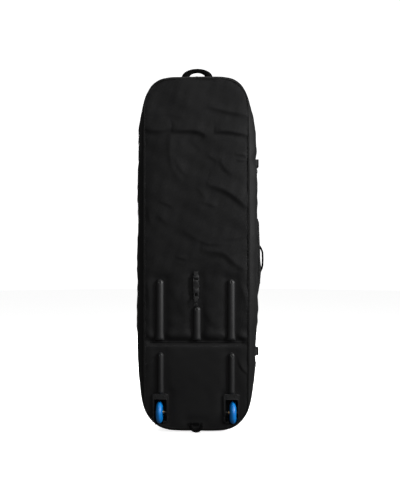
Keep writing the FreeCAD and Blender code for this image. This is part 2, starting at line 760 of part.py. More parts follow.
def build_top_handle():
    """A padded grip that arches over the top, with its two anchor patches."""
    outer = [("handle_half", "handle_axis_z"), ("handle_half - 5", "handle_top_z - 23"),
             ("handle_half - 20", "handle_top_z - 10"), ("handle_half - 43", "handle_top_z")]
    inner = [("handle_half - handle_foot", "handle_axis_z"),
             ("handle_half - handle_foot - 4", "handle_top_z - handle_thick - 12"),
             ("handle_half - handle_foot - 14", "handle_top_z - handle_thick - 4"),
             ("handle_half - handle_foot - 27", "handle_top_z - handle_thick")]
    node(across_prism("top_grip", "handle_wide", "2 * handle_wide", arch(outer, inner)),
         "top_handle_grip")
    patches = []
    for name, side in SIDES:
        centre = "%d * (handle_half - handle_foot / 2)" % side
        patches.append(box("top_patch_" + name, "%s - 22" % centre, "-handle_wide - 4", "top_z + 0.2",
                           "44", "2 * (handle_wide + 4)", "1.2"))
    node(group("top_patches", *patches), "top_handle_anchors")


def build_side_handle():
    """A webbing carry handle on the right gusset: a loop between two sewn-down straps."""
    loop = [("grip_axis_x", "grip_low"), ("grip_out_x - 6", "grip_low + 18"),
            ("grip_out_x", "grip_low + 38"), ("grip_out_x", "grip_high - 34"),
            ("grip_out_x - 6", "grip_high - 16"), ("grip_axis_x", "grip_high"),
            ("grip_axis_x", "grip_high - 9"),
            ("grip_out_x - 6 - grip_thick", "grip_high - 20"),
            ("grip_out_x - grip_thick", "grip_high - 36"), ("grip_out_x - grip_thick", "grip_low + 40"),
            ("grip_out_x - 6 - grip_thick", "grip_low + 22"), ("grip_axis_x", "grip_low + 9")]
    node(across_prism("side_grip", "grip_wide", "2 * grip_wide", loop), "side_handle_loop")
    runs = []
    for name, low, high in (("low", "grip_strap_low", "grip_low - 1"),
                            ("high", "grip_high + 1", "grip_strap_high")):
        runs.append(box("side_run_" + name, "full_half + 0.3", "-grip_wide", low,
                        "webbing + 2", "2 * grip_wide", "(%s) - (%s)" % (high, low)))
    node(group("side_runs", *runs), "side_handle_webbing")


def build_base_handle():
    """A small webbing pull that hangs over the base edge between the wheels."""
    half, low, wide = "base_handle_half", "base_handle_low", "base_handle_wide"
    outer = [(half, "base_handle_axis_z"), ("%s - 8" % half, "%s + 9" % low), ("%s - 18" % half, low)]
    inner = [("%s - %s" % (half, wide), "base_handle_axis_z"),
             ("%s - %s - 6" % (half, wide), "%s + %s + 4" % (low, wide)),
             ("%s - %s - 12" % (half, wide), "%s + %s" % (low, wide))]
    node(across_prism("base_grip", "-base_handle_y + base_handle_thick / 2", "base_handle_thick",
                      arch(outer, inner)), "base_handle_loop")
    patches = []
    for name, side in SIDES:
        centre = "%d * (%s - %s / 2)" % (side, half, wide)
        patches.append(box("base_patch_" + name, "%s - 7" % centre, "-half_depth - 0.2 - webbing",
                           "base_handle_axis_z + 2", "14", "webbing", "14"))
    node(group("base_patches", *patches), "base_handle_anchors")


# ---------------------------------------------------------------- build and write

def check_document():
    """Stop if any object failed or any sub-part is not a sound solid."""
    for obj in DOC.Objects:
        if "Invalid" in obj.State or "Error" in obj.State:
            raise RuntimeError("%s failed: %s" % (obj.Name, obj.State))
    for obj in NODES:
        if obj.Shape.isNull() or not obj.Shape.isValid() or not obj.Shape.Solids:
            raise RuntimeError("%s has no sound shape" % obj.Label)


def write_parts():
    """Write one STEP file for each sub-part."""
    os.makedirs("parts", exist_ok=True)
    for obj in NODES:
        obj.Shape.exportStep("parts/%s.step" % obj.Label)


fill_sheet()
build_shell()
build_lid()
build_piping()
build_zip()
build_slider("upper", "slider_upper_z")
build_slider("lower", "slider_lower_z")
build_rails()
for side_name, side_sign in SIDES:
    build_housing(side_name, side_sign)
    build_wheel(side_name, side_sign)
build_housing_screws()
build_inside()
build_back_buckle()
tabs = [build_strap("upper", "strap_upper_z"), build_strap("lower", "strap_lower_z")]
node(group("clip_tabs", *tabs), "strap_clip_tabs")
build_top_handle()
build_side_handle()
build_base_handle()
DOC.recompute()
check_document()
write_parts()
print("%d sub-parts" % len(NODES))
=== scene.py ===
import math

import bpy
import numpy as np
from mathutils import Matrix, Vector


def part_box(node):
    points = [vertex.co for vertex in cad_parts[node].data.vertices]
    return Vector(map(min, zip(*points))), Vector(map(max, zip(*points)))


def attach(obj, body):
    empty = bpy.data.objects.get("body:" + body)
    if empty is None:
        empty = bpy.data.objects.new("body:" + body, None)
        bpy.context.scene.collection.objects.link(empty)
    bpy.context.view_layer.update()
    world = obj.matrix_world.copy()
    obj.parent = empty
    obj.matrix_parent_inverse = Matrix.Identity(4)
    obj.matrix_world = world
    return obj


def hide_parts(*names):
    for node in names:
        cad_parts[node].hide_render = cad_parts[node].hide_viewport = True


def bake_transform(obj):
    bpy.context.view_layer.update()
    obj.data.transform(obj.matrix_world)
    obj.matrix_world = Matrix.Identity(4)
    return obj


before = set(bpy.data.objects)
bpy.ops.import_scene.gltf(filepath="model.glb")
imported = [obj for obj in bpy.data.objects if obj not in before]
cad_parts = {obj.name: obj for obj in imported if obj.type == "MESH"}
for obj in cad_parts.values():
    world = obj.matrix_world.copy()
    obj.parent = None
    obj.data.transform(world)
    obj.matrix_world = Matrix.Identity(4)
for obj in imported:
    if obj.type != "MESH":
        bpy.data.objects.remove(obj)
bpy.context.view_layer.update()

BACK_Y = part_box("back_panel")[0][1]
LID_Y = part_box("lid_panel")[1][1]
ZIP_BODY_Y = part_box("base_shell")[1][1]
ZIP_LID_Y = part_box("lid_rim_base")[0][1]
ZIP_Y = (ZIP_BODY_Y + ZIP_LID_Y) / 2
CREASE_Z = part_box("side_wall_right")[0][2]
HALF_DEPTH = LID_Y
WALL = 0.007
PIPING = 0.0021
SEAM_HALF = 0.2115
BASE_RISE = 0.0215
TOP_DROP = 0.020
BULGE_POWER = 5.5

# Heights, reaches and pitches of the cloth parts and their sewing, in metres, and a count and a share.
PANEL_TOP = 1.436
CROWN_Z = 1.4530
STRAP_SIDE_X = 0.2403
HOUSING_FOOT_Z = 0.047
SEAM_STITCH_INSET = 0.006
STITCH_PITCH = 0.0042
STITCH_THICK = 0.0008
COIL_TURNS = 1150
QUILT_PITCH = 0.09
VALLEY = 0.3

# The bag's outline at the middle of its depth: the right half from the centre of the
# base to the centre of the top, across and up.
HALF_OUTLINE = [(0.0, 0.0005), (0.07, 0.0005), (0.116, 0.004), (0.156, 0.018), (0.184, 0.041),
                (0.2065, 0.073), (0.221, 0.11), (0.236, 0.2), (0.2438, 0.29), (0.2455, 0.372),
                (0.2455, 0.56), (0.2455, 0.774), (0.244, 0.947), (0.24, 1.153), (0.236, 1.235),
                (0.229, 1.29), (0.218, 1.343), (0.202, 1.388), (0.181, 1.420), (0.153, 1.440),
                (0.115, 1.4495), (0.06, 1.4518), (0.0, 1.4522)]


# ------------------------------------------------------------------ numbers to shapes

def smooth_step(value, low, high):
    """0 below low, 1 above high, and 3t^2 - 2t^3 between."""
    share = np.clip((value - low) / (high - low), 0.0, 1.0)
    return share * share * (3.0 - 2.0 * share)


def bell(value, width):
    """exp(-(value / width)^2)."""
    return np.exp(-(value / width) ** 2)


def through(points, count):
    """A smooth curve through points, evenly spaced along its length. Between two points it
    is a cubic; the slope at a point is the mean of its two chords, the shorter one counting more."""
    spots = np.asarray(points, float)
    chord = np.linalg.norm(np.diff(spots, axis=0), axis=1)
    slope = np.diff(spots, axis=0) / chord[:, None]
    inner = (slope[1:] * chord[:-1, None] + slope[:-1] * chord[1:, None]) / (chord[1:] + chord[:-1])[:, None]
    slopes = np.vstack([slope[:1], inner, slope[-1:]])
    t = np.linspace(0.0, 1.0, 24, endpoint=False)[None, :, None]
    start, end = spots[:-1, None], spots[1:, None]
    m_start, m_end = slopes[:-1, None] * chord[:, None, None], slopes[1:, None] * chord[:, None, None]
    fine = (start * (2 * t ** 3 - 3 * t ** 2 + 1) + m_start * (t ** 3 - 2 * t ** 2 + t)
            + end * (3 * t ** 2 - 2 * t ** 3) + m_end * (t ** 3 - t ** 2))
    fine = np.vstack([fine.reshape(-1, spots.shape[1]), spots[-1:]])
    return even(fine, count)


def even(points, count):
    """The same line with count points evenly spaced along it."""
    steps = np.linalg.norm(np.diff(points, axis=0), axis=1)
    length = np.concatenate([[0.0], np.cumsum(steps)])
    wanted = np.linspace(0.0, length[-1], count)
    return np.stack([np.interp(wanted, length, points[:, i]) for i in range(points.shape[1])], axis=1)


def grid_faces(rows, columns, wrap_rows=False, wrap_columns=False):
    """Quads between neighbouring points of a rows by columns grid."""
    i = np.arange(rows if wrap_rows else rows - 1)[:, None]
    j = np.arange(columns if wrap_columns else columns - 1)[None, :]
    i2, j2 = (i + 1) % rows, (j + 1) % columns
    corners = [i * columns + j, i2 * columns + j, i2 * columns + j2, i * columns + j2]
    return np.stack([np.broadcast_to(c, (i.size, j.size)).ravel() for c in corners], axis=1)


def rim(rows, columns, wrap_rows):
    """The point numbers round a grid's open edges, as closed or open chains."""
    first = np.arange(rows) * columns
    last = first + columns - 1
    if wrap_rows:
        return [np.append(first, first[0]), np.append(last, last[0])[::-1]]
    bottom = np.arange(columns)
    top = bottom + (rows - 1) * columns
    return [np.concatenate([bottom, last[1:], top[::-1][1:], first[::-1][1:]])]


def cloth_uv(grid):
    """Thread coordinates of a grid in metres: the mean distance along its rows and along its
    columns, so that a weave follows the cut of the cloth."""
    down = np.linalg.norm(np.diff(grid, axis=0), axis=-1).mean(axis=1)
    over = np.linalg.norm(np.diff(grid, axis=1), axis=-1).mean(axis=0)
    u = np.concatenate([[0.0], np.cumsum(down)])[:, None]
    v = np.concatenate([[0.0], np.cumsum(over)])[None, :]
    return np.stack(np.broadcast_arrays(u, v - v.mean()), axis=-1).reshape(-1, 2)


def slab(front, back, wrap=False):
    """A closed solid between two grids of the same size: both faces and the strips that join
    their open edges. wrap joins the last row to the first."""
    rows, columns = front.shape[:2]
    offset = rows * columns
    faces = grid_faces(rows, columns, wrap_rows=wrap)
    pieces = [faces, faces[:, ::-1] + offset]
    for chain in rim(rows, columns, wrap):
        a, b = chain[:-1], chain[1:]
        pieces.append(np.stack([b, a, a + offset, b + offset], axis=1))
    points = np.concatenate([front.reshape(-1, 3), back.reshape(-1, 3)])
    return points, np.concatenate(pieces), np.tile(cloth_uv(front), (2, 1))


def carried(path, side, profile, closed=False):
    """A profile carried along a path. side is the fixed direction of the profile's first
    number, and its second number runs along side crossed with the path. Open ends are capped
    with a fan round a middle point."""
    path, side = np.asarray(path, float), np.asarray(side, float)
    run = np.gradient(path, axis=0)
    if closed:
        run = np.roll(path, -1, axis=0) - np.roll(path, 1, axis=0)
    normal = np.cross(side, run)
    normal /= np.linalg.norm(normal, axis=1)[:, None]
    profile = np.asarray(profile, float)
    if profile.ndim == 2:
        profile = np.broadcast_to(profile, (len(path),) + profile.shape)
    points = path[:, None] + side * profile[..., :1] + normal[:, None] * profile[..., 1:2]
    along = np.concatenate([[0.0], np.cumsum(np.linalg.norm(np.diff(path, axis=0), axis=1))])
    around = np.linalg.norm(np.roll(profile[0], -1, axis=0) - profile[0], axis=1).cumsum()
    uv = np.stack(np.broadcast_arrays(along[:, None], around[None, :]), axis=-1).reshape(-1, 2)
    return tube(points, uv, closed)


def tube(rings, uv=None, closed=False):
    """A closed surface through a stack of rings, its two ends capped with fans."""
    rows, columns = rings.shape[:2]
    faces = [grid_faces(rows, columns, wrap_rows=closed, wrap_columns=True)]
    points = rings.reshape(-1, 3)
    if uv is None:
        uv = np.zeros((len(points), 2))
    if not closed:
        middles = np.stack([points[:columns].mean(axis=0), points[-columns:].mean(axis=0)])
        ring = np.arange(columns)
        start = np.stack([ring, (ring + 1) % columns, np.full(columns, len(points)),
                          np.full(columns, len(points))], axis=1)
        end = start[:, [1, 0, 2, 3]]
        end[:, :2] += (rows - 1) * columns
        end[:, 2:] += 1
        points = np.vstack([points, middles])
        uv = np.vstack([uv, uv[[0, -1]]])
        faces += [start, end]
    return points, np.concatenate(faces), uv


def rounded(width, thick, power=5.0, count=20):
    """A closed profile between an ellipse and a rectangle: |x/a|^p + |y/b|^p = 1."""
    angle = np.linspace(0.0, 2.0 * math.pi, count, endpoint=False) + math.pi / count
    cos, sin = np.cos(angle), np.sin(angle)
    scale = (np.abs(cos) ** power + np.abs(sin) ** power) ** (-1.0 / power)
    return np.stack([cos * scale * width / 2, sin * scale * thick / 2], axis=1)


def joined(*parts):
    """Several shapes as one."""
    points, faces, uvs, start = [], [], [], 0
    for some_points, some_faces, some_uv in parts:
        points.append(some_points)
        faces.append(some_faces + start)
        uvs.append(some_uv)
        start += len(some_points)
    return np.concatenate(points), np.concatenate(faces), np.concatenate(uvs)


def repeated(shape, places, axes):
    """One small shape set down many times. axes holds three directions for each place."""
    points, faces, uv = shape
    moved = places[:, None] + np.einsum("pk,nkc->npc", points, axes)
    starts = (np.arange(len(places)) * len(points))[:, None, None]
    return (moved.reshape(-1, 3), (faces[None] + starts).reshape(-1, faces.shape[1]),
            np.tile(uv, (len(places), 1)))


def placed(shape, origin, x_axis, y_axis, z_axis):
    """A shape drawn in its own axes, set down at a place with those axes turned."""
    points, faces, uv = shape
    axes = np.array([x_axis, y_axis, z_axis], float)
    return np.asarray(origin, float) + points @ axes, faces, uv


def volume(points, faces):
    """Six times the signed volume inside a closed set of quads."""
    a, b, c, d = (points[faces[:, i]] for i in range(4))
    return np.einsum("ij,ij->", a, np.cross(b, c)) + np.einsum("ij,ij->", a, np.cross(c, d))


def make(name, shape, material, body, stands_for=(), inside=None, sharp=None):
    """A mesh object that rides on a body, unless that is left for later. Faces are turned
    outwards. A quad with two corners at the same point becomes a triangle. inside is the
    material of a slab's second face."""
    points, faces, uv = shape
    if volume(points, faces) < 0:
        faces = faces[:, ::-1]
    thin = (faces[:, 2] == faces[:, 3]) | (faces[:, 0] == faces[:, 1])
    lists = [list(dict.fromkeys(face)) if flat else face
             for face, flat in zip(faces.tolist(), thin.tolist())]
    mesh = bpy.data.meshes.new(name)
    mesh.from_pydata(points.tolist(), [], lists)
    layer = mesh.uv_layers.new(name="UVMap")
    spots = np.empty(len(mesh.loops), dtype=np.int32)
    mesh.loops.foreach_get("vertex_index", spots)
    layer.data.foreach_set("uv", uv[spots].ravel())
    mesh.shade_smooth()
    if sharp:
        mesh.set_sharp_from_angle(angle=math.radians(sharp))
    mesh.materials.append(material)
    if inside:
        mesh.materials.append(inside)
        inner = (faces >= len(points) // 2).all(axis=1)
        mesh.polygons.foreach_set("material_index", inner.astype(np.int32))
    mesh.validate()
    obj = bpy.data.objects.new(name, mesh)
    bpy.context.scene.collection.objects.link(obj)
    if body:
        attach(obj, body)
    if stands_for:
        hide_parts(*stands_for)
    return obj


def finished(obj):
    """Apply an object's modifiers to its mesh."""
    graph = bpy.context.evaluated_depsgraph_get()
    mesh = bpy.data.meshes.new_from_object(obj.evaluated_get(graph))
    obj.modifiers.clear()
    obj.data = mesh
    return obj


# ------------------------------------------------------------------ materials

def new_material(name):
    """An empty node material, its node tree and its Principled shader."""
    material = bpy.data.materials.new(name)
    material.use_nodes = True
    tree = material.node_tree
    shader = tree.nodes["Principled BSDF"]
    return material, tree, shader


def link(tree, source, target):
    """Join an output socket to an input socket."""
    tree.links.new(source, target)


def math_node(tree, operation, first, second=None):
    """A Math node of one operation on sockets or numbers."""
    node = tree.nodes.new("ShaderNodeMath")
    node.operation = operation
    for socket, value in zip(node.inputs, (first, second)):
        if value is None:
            continue
        if isinstance(value, (int, float)):
            socket.default_value = value
        else:
            link(tree, value, socket)
    return node.outputs[0]


def object_place(tree):
    """The object coordinates."""
    return tree.nodes.new("ShaderNodeTexCoord").outputs["Object"]


def thread_axes(tree):
    """The UV map in metres, along the threads and across them."""
    place = tree.nodes.new("ShaderNodeUVMap")
    place.uv_map = "UVMap"
    split = tree.nodes.new("ShaderNodeSeparateXYZ")
    link(tree, place.outputs[0], split.inputs[0])
    return split.outputs[0], split.outputs[1]


def noise(tree, vector, scale, detail=3.0, roughness=0.55):
    """A noise texture's value."""
    node = tree.nodes.new("ShaderNodeTexNoise")
    node.inputs["Scale"].default_value = scale
    node.inputs["Detail"].default_value = detail
    node.inputs["Roughness"].default_value = roughness
    link(tree, vector, node.inputs["Vector"])
    return node.outputs[0]


def ramp(tree, value, stops):
    """A colour ramp with stops of (place, colour)."""
    node = tree.nodes.new("ShaderNodeValToRGB")
    band = node.color_ramp
    while len(band.elements) < len(stops):
        band.elements.new(0.5)
    for element, (place, colour) in zip(band.elements, stops):
        element.position = place
        element.color = (*colour, 1.0)
    link(tree, value, node.inputs[0])
    return node.outputs[0]


def bump(tree, shader, height, strength, distance):
    """Bump from a height value into the shader's normal."""
    node = tree.nodes.new("ShaderNodeBump")
    node.inputs["Strength"].default_value = strength
    node.inputs["Distance"].default_value = distance
    link(tree, height, node.inputs["Height"])
    link(tree, node.outputs[0], shader.inputs["Normal"])


def threads(tree, value, pitch):
    """A rounded rib every pitch: the sine of 2 pi value / pitch, from 0 to 1."""
    turned = math_node(tree, "MULTIPLY", value, 2.0 * math.pi / pitch)
    wave = math_node(tree, "SINE", turned)
    return half_up(tree, wave)


def half_up(tree, wave):
    """A wave between -1 and 1 moved to between 0 and 1."""
    halved = math_node(tree, "MULTIPLY", wave, 0.5)
    return math_node(tree, "ADD", halved, 0.5)


def weave_height(tree, across, along, pitch):
    """A plain weave: two crossing sets of ribs whose product swaps sign from cell to cell."""
    warp = math_node(tree, "SINE", math_node(tree, "MULTIPLY", across, math.pi / pitch))
    weft = math_node(tree, "SINE", math_node(tree, "MULTIPLY", along, math.pi / pitch))
    cells = math_node(tree, "MULTIPLY", warp, weft)
    return half_up(tree, cells)


def woven(name, dark, light, pitch=0.0011, roughness=0.6, sheen=0.02, specular=0.14, coarse=9.0):
    """Coated plain-weave cloth: a fine weave, uneven dye and rubbed patches."""
    material, tree, shader = new_material(name)
    place = object_place(tree)
    along, across = thread_axes(tree)
    weave = weave_height(tree, across, along, pitch)
    cloud = noise(tree, place, coarse, 5.0)
    grain = noise(tree, place, 420.0, 2.0)
    blend = math_node(tree, "ADD", math_node(tree, "MULTIPLY", cloud, 0.55),
                      math_node(tree, "MULTIPLY", grain, 0.25))
    blend = math_node(tree, "ADD", blend, math_node(tree, "MULTIPLY", weave, 0.2))
    link(tree, ramp(tree, blend, [(0.3, dark), (0.72, light)]), shader.inputs["Base Color"])
    rough = ramp(tree, cloud, [(0.3, (roughness - 0.07,) * 3), (0.7, (roughness + 0.08,) * 3)])
    link(tree, rough, shader.inputs["Roughness"])
    shader.inputs["Sheen Weight"].default_value = sheen
    shader.inputs["Sheen Roughness"].default_value = 0.45
    shader.inputs["Specular IOR Level"].default_value = specular
    height = math_node(tree, "ADD", weave, math_node(tree, "MULTIPLY", grain, 0.6))
    bump(tree, shader, height, 0.3, 0.0004)
    return material


def ripstop(name, dark, light):
    """Thin lining cloth with a raised thread every 6 mm both ways."""
    material, tree, shader = new_material(name)
    place = object_place(tree)
    along, across = thread_axes(tree)
    lines = []
    for value in (across, along):
        wave = math_node(tree, "COSINE", math_node(tree, "MULTIPLY", value, 2.0 * math.pi / 0.006))
        lines.append(math_node(tree, "GREATER_THAN", wave, 0.9))
    grid = math_node(tree, "MAXIMUM", lines[0], lines[1])
    cloud = noise(tree, place, 14.0, 4.0)
    value = math_node(tree, "ADD", math_node(tree, "MULTIPLY", grid, 0.3), cloud)
    link(tree, ramp(tree, value, [(0.35, dark), (0.95, light)]), shader.inputs["Base Color"])
    shader.inputs["Roughness"].default_value = 0.6
    shader.inputs["Specular IOR Level"].default_value = 0.3
    fine = weave_height(tree, across, along, 0.0008)
    bump(tree, shader, math_node(tree, "ADD", grid, fine), 0.3, 0.0003)
    return material


def webbing_cloth(name, dark, light):
    """Flat-woven strap: slanted ribs that change direction across the width, like herringbone."""
    material, tree, shader = new_material(name)
    along, across = thread_axes(tree)
    zigzag = math_node(tree, "PINGPONG", across, 0.0032)
    slant = math_node(tree, "ADD", along, zigzag)
    ribs = threads(tree, slant, 0.0015)
    wales = threads(tree, across, 0.0016)
    height = math_node(tree, "ADD", ribs, math_node(tree, "MULTIPLY", wales, 0.6))
    cloud = noise(tree, object_place(tree), 30.0, 4.0)
    value = math_node(tree, "ADD", math_node(tree, "MULTIPLY", ribs, 0.45),
                      math_node(tree, "MULTIPLY", cloud, 0.55))
    link(tree, ramp(tree, value, [(0.2, dark), (0.8, light)]), shader.inputs["Base Color"])
    shader.inputs["Roughness"].default_value = 0.62
    shader.inputs["Sheen Weight"].default_value = 0.05
    shader.inputs["Specular IOR Level"].default_value = 0.25
    bump(tree, shader, height, 0.6, 0.0005)
    return material


def moulded(name, dark, light, roughness, grain_scale=900.0, strength=0.12, specular=0.45):
    """Moulded plastic: fine spark-eroded grain, slight flow marks and rubbed spots."""
    material, tree, shader = new_material(name)
    place = object_place(tree)
    cloud = noise(tree, place, 22.0, 5.0)
    grain = noise(tree, place, grain_scale, 2.0)
    link(tree, ramp(tree, cloud, [(0.3, dark), (0.75, light)]), shader.inputs["Base Color"])
    rough = ramp(tree, cloud, [(0.25, (roughness - 0.06,) * 3), (0.75, (roughness + 0.08,) * 3)])
    link(tree, rough, shader.inputs["Roughness"])
    shader.inputs["Specular IOR Level"].default_value = specular
    bump(tree, shader, grain, strength, 0.0003)
    return material


def skid_plastic(name, dark, light):
    """Rail plastic with fine scuffs that run along the rail."""
    material, tree, shader = new_material(name)
    place = object_place(tree)
    stretch = tree.nodes.new("ShaderNodeMapping")
    stretch.inputs["Scale"].default_value = (1.0, 1.0, 0.06)
    link(tree, place, stretch.inputs["Vector"])
    scuffs = noise(tree, stretch.outputs[0], 320.0, 4.0, 0.7)
    cloud = noise(tree, place, 26.0, 4.0)
    value = math_node(tree, "ADD", math_node(tree, "MULTIPLY", scuffs, 0.5),
                      math_node(tree, "MULTIPLY", cloud, 0.5))
    link(tree, ramp(tree, value, [(0.3, dark), (0.75, light)]), shader.inputs["Base Color"])
    rough = ramp(tree, scuffs, [(0.3, (0.44,) * 3), (0.7, (0.58,) * 3)])
    link(tree, rough, shader.inputs["Roughness"])
    shader.inputs["Specular IOR Level"].default_value = 0.42
    bump(tree, shader, scuffs, 0.15, 0.0003)
    return material


def urethane(name):
    """Blue wheel urethane, a little cloudy, with patchy grime in its roughness."""
    material, tree, shader = new_material(name)
    place = object_place(tree)
    cloud = noise(tree, place, 45.0, 4.0)
    link(tree, ramp(tree, cloud, [(0.25, (0.0, 0.13, 0.44)), (0.7, (0.001, 0.205, 0.62))]),
         shader.inputs["Base Color"])
    grime = noise(tree, place, 160.0, 5.0, 0.7)
    link(tree, ramp(tree, grime, [(0.3, (0.3,) * 3), (0.75, (0.48,) * 3)]), shader.inputs["Roughness"])
    shader.inputs["Coat Weight"].default_value = 0.06
    shader.inputs["Coat Roughness"].default_value = 0.3
    bump(tree, shader, grime, 0.08, 0.0004)
    return material


def metal(name, colour, darker, roughness):
    """Bare or plated metal with fine turning marks."""
    material, tree, shader = new_material(name)
    place = object_place(tree)
    marks = noise(tree, place, 260.0, 4.0, 0.7)
    link(tree, ramp(tree, marks, [(0.3, darker), (0.7, colour)]), shader.inputs["Base Color"])
    rough = ramp(tree, marks, [(0.3, (roughness,) * 3), (0.7, (roughness + 0.15,) * 3)])
    link(tree, rough, shader.inputs["Roughness"])
    shader.inputs["Metallic"].default_value = 1.0
    bump(tree, shader, marks, 0.08, 0.0002)
    return material


def studio_paint(name, colour, glow):
    """Matt pale studio surface."""
    material, tree, shader = new_material(name)
    place = object_place(tree)
    cloud = noise(tree, place, 0.8, 2.0)
    tint = tuple(c * 0.985 for c in colour)
    link(tree, ramp(tree, cloud, [(0.3, tint), (0.7, colour)]), shader.inputs["Base Color"])
    shader.inputs["Roughness"].default_value = 0.9
    shader.inputs["Specular IOR Level"].default_value = 0.1
    shader.inputs["Emission Color"].default_value = (1.0, 1.0, 1.0, 1.0)
    shader.inputs["Emission Strength"].default_value = glow
    return material


SHELL_CLOTH = woven("shell_cloth", (0.004, 0.004, 0.0042), (0.008, 0.008, 0.0083))
BASE_CLOTH = woven("base_cloth", (0.0055, 0.0055, 0.0057), (0.0095, 0.0095, 0.0098), pitch=0.0014,
                   roughness=0.62, coarse=6.0)
PIPING_CLOTH = woven("piping_cloth", (0.003, 0.003, 0.003), (0.006, 0.006, 0.006), specular=0.12)
LINING_CLOTH = ripstop("lining_cloth", (0.045, 0.046, 0.049), (0.1, 0.101, 0.106))
TAPE_CLOTH = woven("tape_cloth", (0.005, 0.005, 0.0055), (0.011, 0.011, 0.0115), pitch=0.0007)
COIL_NYLON = moulded("coil_nylon", (0.006, 0.006, 0.006), (0.014, 0.014, 0.014), 0.4)
STRAP_WEB = webbing_cloth("strap_web", (0.002, 0.002, 0.0022), (0.008, 0.008, 0.0085))
THREAD = moulded("sewing_thread", (0.008, 0.008, 0.0085), (0.018, 0.018, 0.019), 0.55, 2400.0, 0.3)
# Acetal of the buckles. The housings' edge beads use it too, where its lighter colour is a painted highlight
# along the edges.
BUCKLE_ACETAL_AND_EDGE_HIGHLIGHT = moulded("buckle_acetal_and_edge_highlight", (0.005, 0.005, 0.0055), (0.01, 0.01, 0.0105), 0.42)
GRIP_CLOTH = woven("grip_cloth", (0.0015, 0.0015, 0.0016), (0.003, 0.003, 0.003), roughness=0.8,
                   sheen=0.0, specular=0.05)
HOUSING_NYLON = moulded("housing_nylon", (0.004, 0.004, 0.0043), (0.009, 0.009, 0.0094), 0.5, 650.0, 0.3)
CLIP_ACETAL = moulded("clip_acetal", (0.003, 0.003, 0.0032), (0.006, 0.006, 0.0063), 0.55, specular=0.18)
CORE_NYLON = moulded("core_nylon", (0.008, 0.008, 0.008), (0.018, 0.018, 0.018), 0.4)
RAIL_PLASTIC = skid_plastic("rail_plastic", (0.005, 0.005, 0.0055), (0.011, 0.011, 0.0115))
BOARD_SHEET = moulded("board_sheet", (0.06, 0.06, 0.062), (0.1, 0.1, 0.103), 0.5, 300.0, 0.3)
WHEEL_BLUE = urethane("wheel_blue")
BRONZE = metal("axle_bronze", (0.62, 0.42, 0.2), (0.4, 0.25, 0.1), 0.28)
STEEL = metal("bearing_steel", (0.6, 0.6, 0.61), (0.38, 0.38, 0.39), 0.25)
BLACK_OXIDE = metal("black_oxide", (0.09, 0.09, 0.092), (0.035, 0.035, 0.036), 0.35)
GUNMETAL = metal("gunmetal", (0.16, 0.16, 0.165), (0.07, 0.07, 0.072), 0.3)


# ------------------------------------------------------------------ the bag's form

def half_outline(count):
    """The right half of the middle outline, evenly spaced."""
    return through(HALF_OUTLINE, count)


def whole_outline(count):
    """The closed middle outline: up the right side from the centre of the base, then down the left."""
    half = half_outline(count // 2 + 1)
    left = half[1:-1][::-1] * np.array([-1.0, 1.0])
    return np.vstack([half, left])


def to_seam(outline):
    """The outline where a panel's seam runs, at the back or the lid: no wider than SEAM_HALF,
    a little inside the middle outline, raised at the base and lowered at the top."""
    x, z = outline[..., 0], outline[..., 1]
    drawn = 0.975 * np.abs(x)
    reach = (drawn + SEAM_HALF - np.sqrt((drawn - SEAM_HALF) ** 2 + 0.008 ** 2)) / 2
    up = BASE_RISE * (1.0 - smooth_step(z, 0.0, 0.16)) - TOP_DROP * smooth_step(z, 1.26, 1.44)
    return np.stack([np.sign(x) * reach, z + up], axis=-1)


def inward(outline):
    """Unit directions that point into a closed outline, square to it."""
    run = np.roll(outline, -1, axis=0) - np.roll(outline, 1, axis=0)
    run /= np.linalg.norm(run, axis=1)[:, None]
    return np.stack([-run[:, 1], run[:, 0]], axis=1)


def shell_grid(count, depths, inset=0.0):
    """Points of the gusset: the middle outline moves to the seam's as the depth's share of
    half the bag's depth to the power BULGE_POWER, less an inset."""
    middle = whole_outline(count)
    seam = to_seam(middle)
    share = np.abs(depths / HALF_DEPTH) ** BULGE_POWER
    flat = middle[:, None] + (seam - middle)[:, None] * share[None, :, None]
    inside = inward(middle)[:, None]
    flat = flat + inside * inset
    y = np.broadcast_to(depths, flat.shape[:2])
    return np.stack([flat[..., 0], y, flat[..., 1]], axis=-1)


def from_line(x, z, line):
    """Distance from a line, the side of it (positive to the left) and the share along it."""
    spots = np.stack([x, z], axis=-1)[..., None, :]
    gap = spots - line
    nearest = np.argmin((gap ** 2).sum(axis=-1), axis=-1)
    run = np.gradient(line, axis=0)
    run /= np.linalg.norm(run, axis=1)[:, None]
    chosen = np.take_along_axis(gap, nearest[..., None, None], axis=-2)[..., 0, :]
    way = run[nearest]
    off = way[..., 0] * chosen[..., 1] - way[..., 1] * chosen[..., 0]
    past = np.abs(way[..., 0] * chosen[..., 0] + way[..., 1] * chosen[..., 1])
    return np.hypot(off, past), off, nearest / (len(line) - 1.0)


def crease(x, z, points, height, gentle, steep):
    """A pinched fold in cloth along a line. Its ridge runs out gently on the left of the line,
    as exp(-(distance / gentle)^1.3), and drops steeply on the right into a small valley. The
    height fades to nothing at both ends."""
    distance, off, share = from_line(x, z, through(points, 40))
    fade = np.sin(math.pi * np.clip(share, 0.0, 1.0)) ** 0.6
    soft = np.exp(-(distance / gentle) ** 1.3)
    hard = bell(distance, steep) - VALLEY * bell(off + 2.1 * steep, 1.3 * steep) * bell(
        distance - np.abs(off), steep)
    return 0.75 * height * fade * np.where(off > 0, soft, hard)


def swell(x, z, seed, wavelength, height):
    """Slow unevenness: a sum of eight sine waves in seeded directions."""
    chance = np.random.default_rng(seed)
    total = np.zeros_like(x)
    for _ in range(8):
        angle, phase = chance.uniform(0, 2 * math.pi, 2)
        pace = 2 * math.pi / (wavelength * chance.uniform(0.6, 1.6))
        total += np.sin(pace * (x * math.cos(angle) + z * math.sin(angle)) + phase)
    return height * total / 8.0


def beside(x, z, node):
    """Distance in X and Z from a node's box, 0 inside it."""
    low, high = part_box(node)
    dx = np.maximum(np.maximum(low[0] - x, x - high[0]), 0.0)
    dz = np.maximum(np.maximum(low[2] - z, z - high[2]), 0.0)
    return np.hypot(dx, dz)


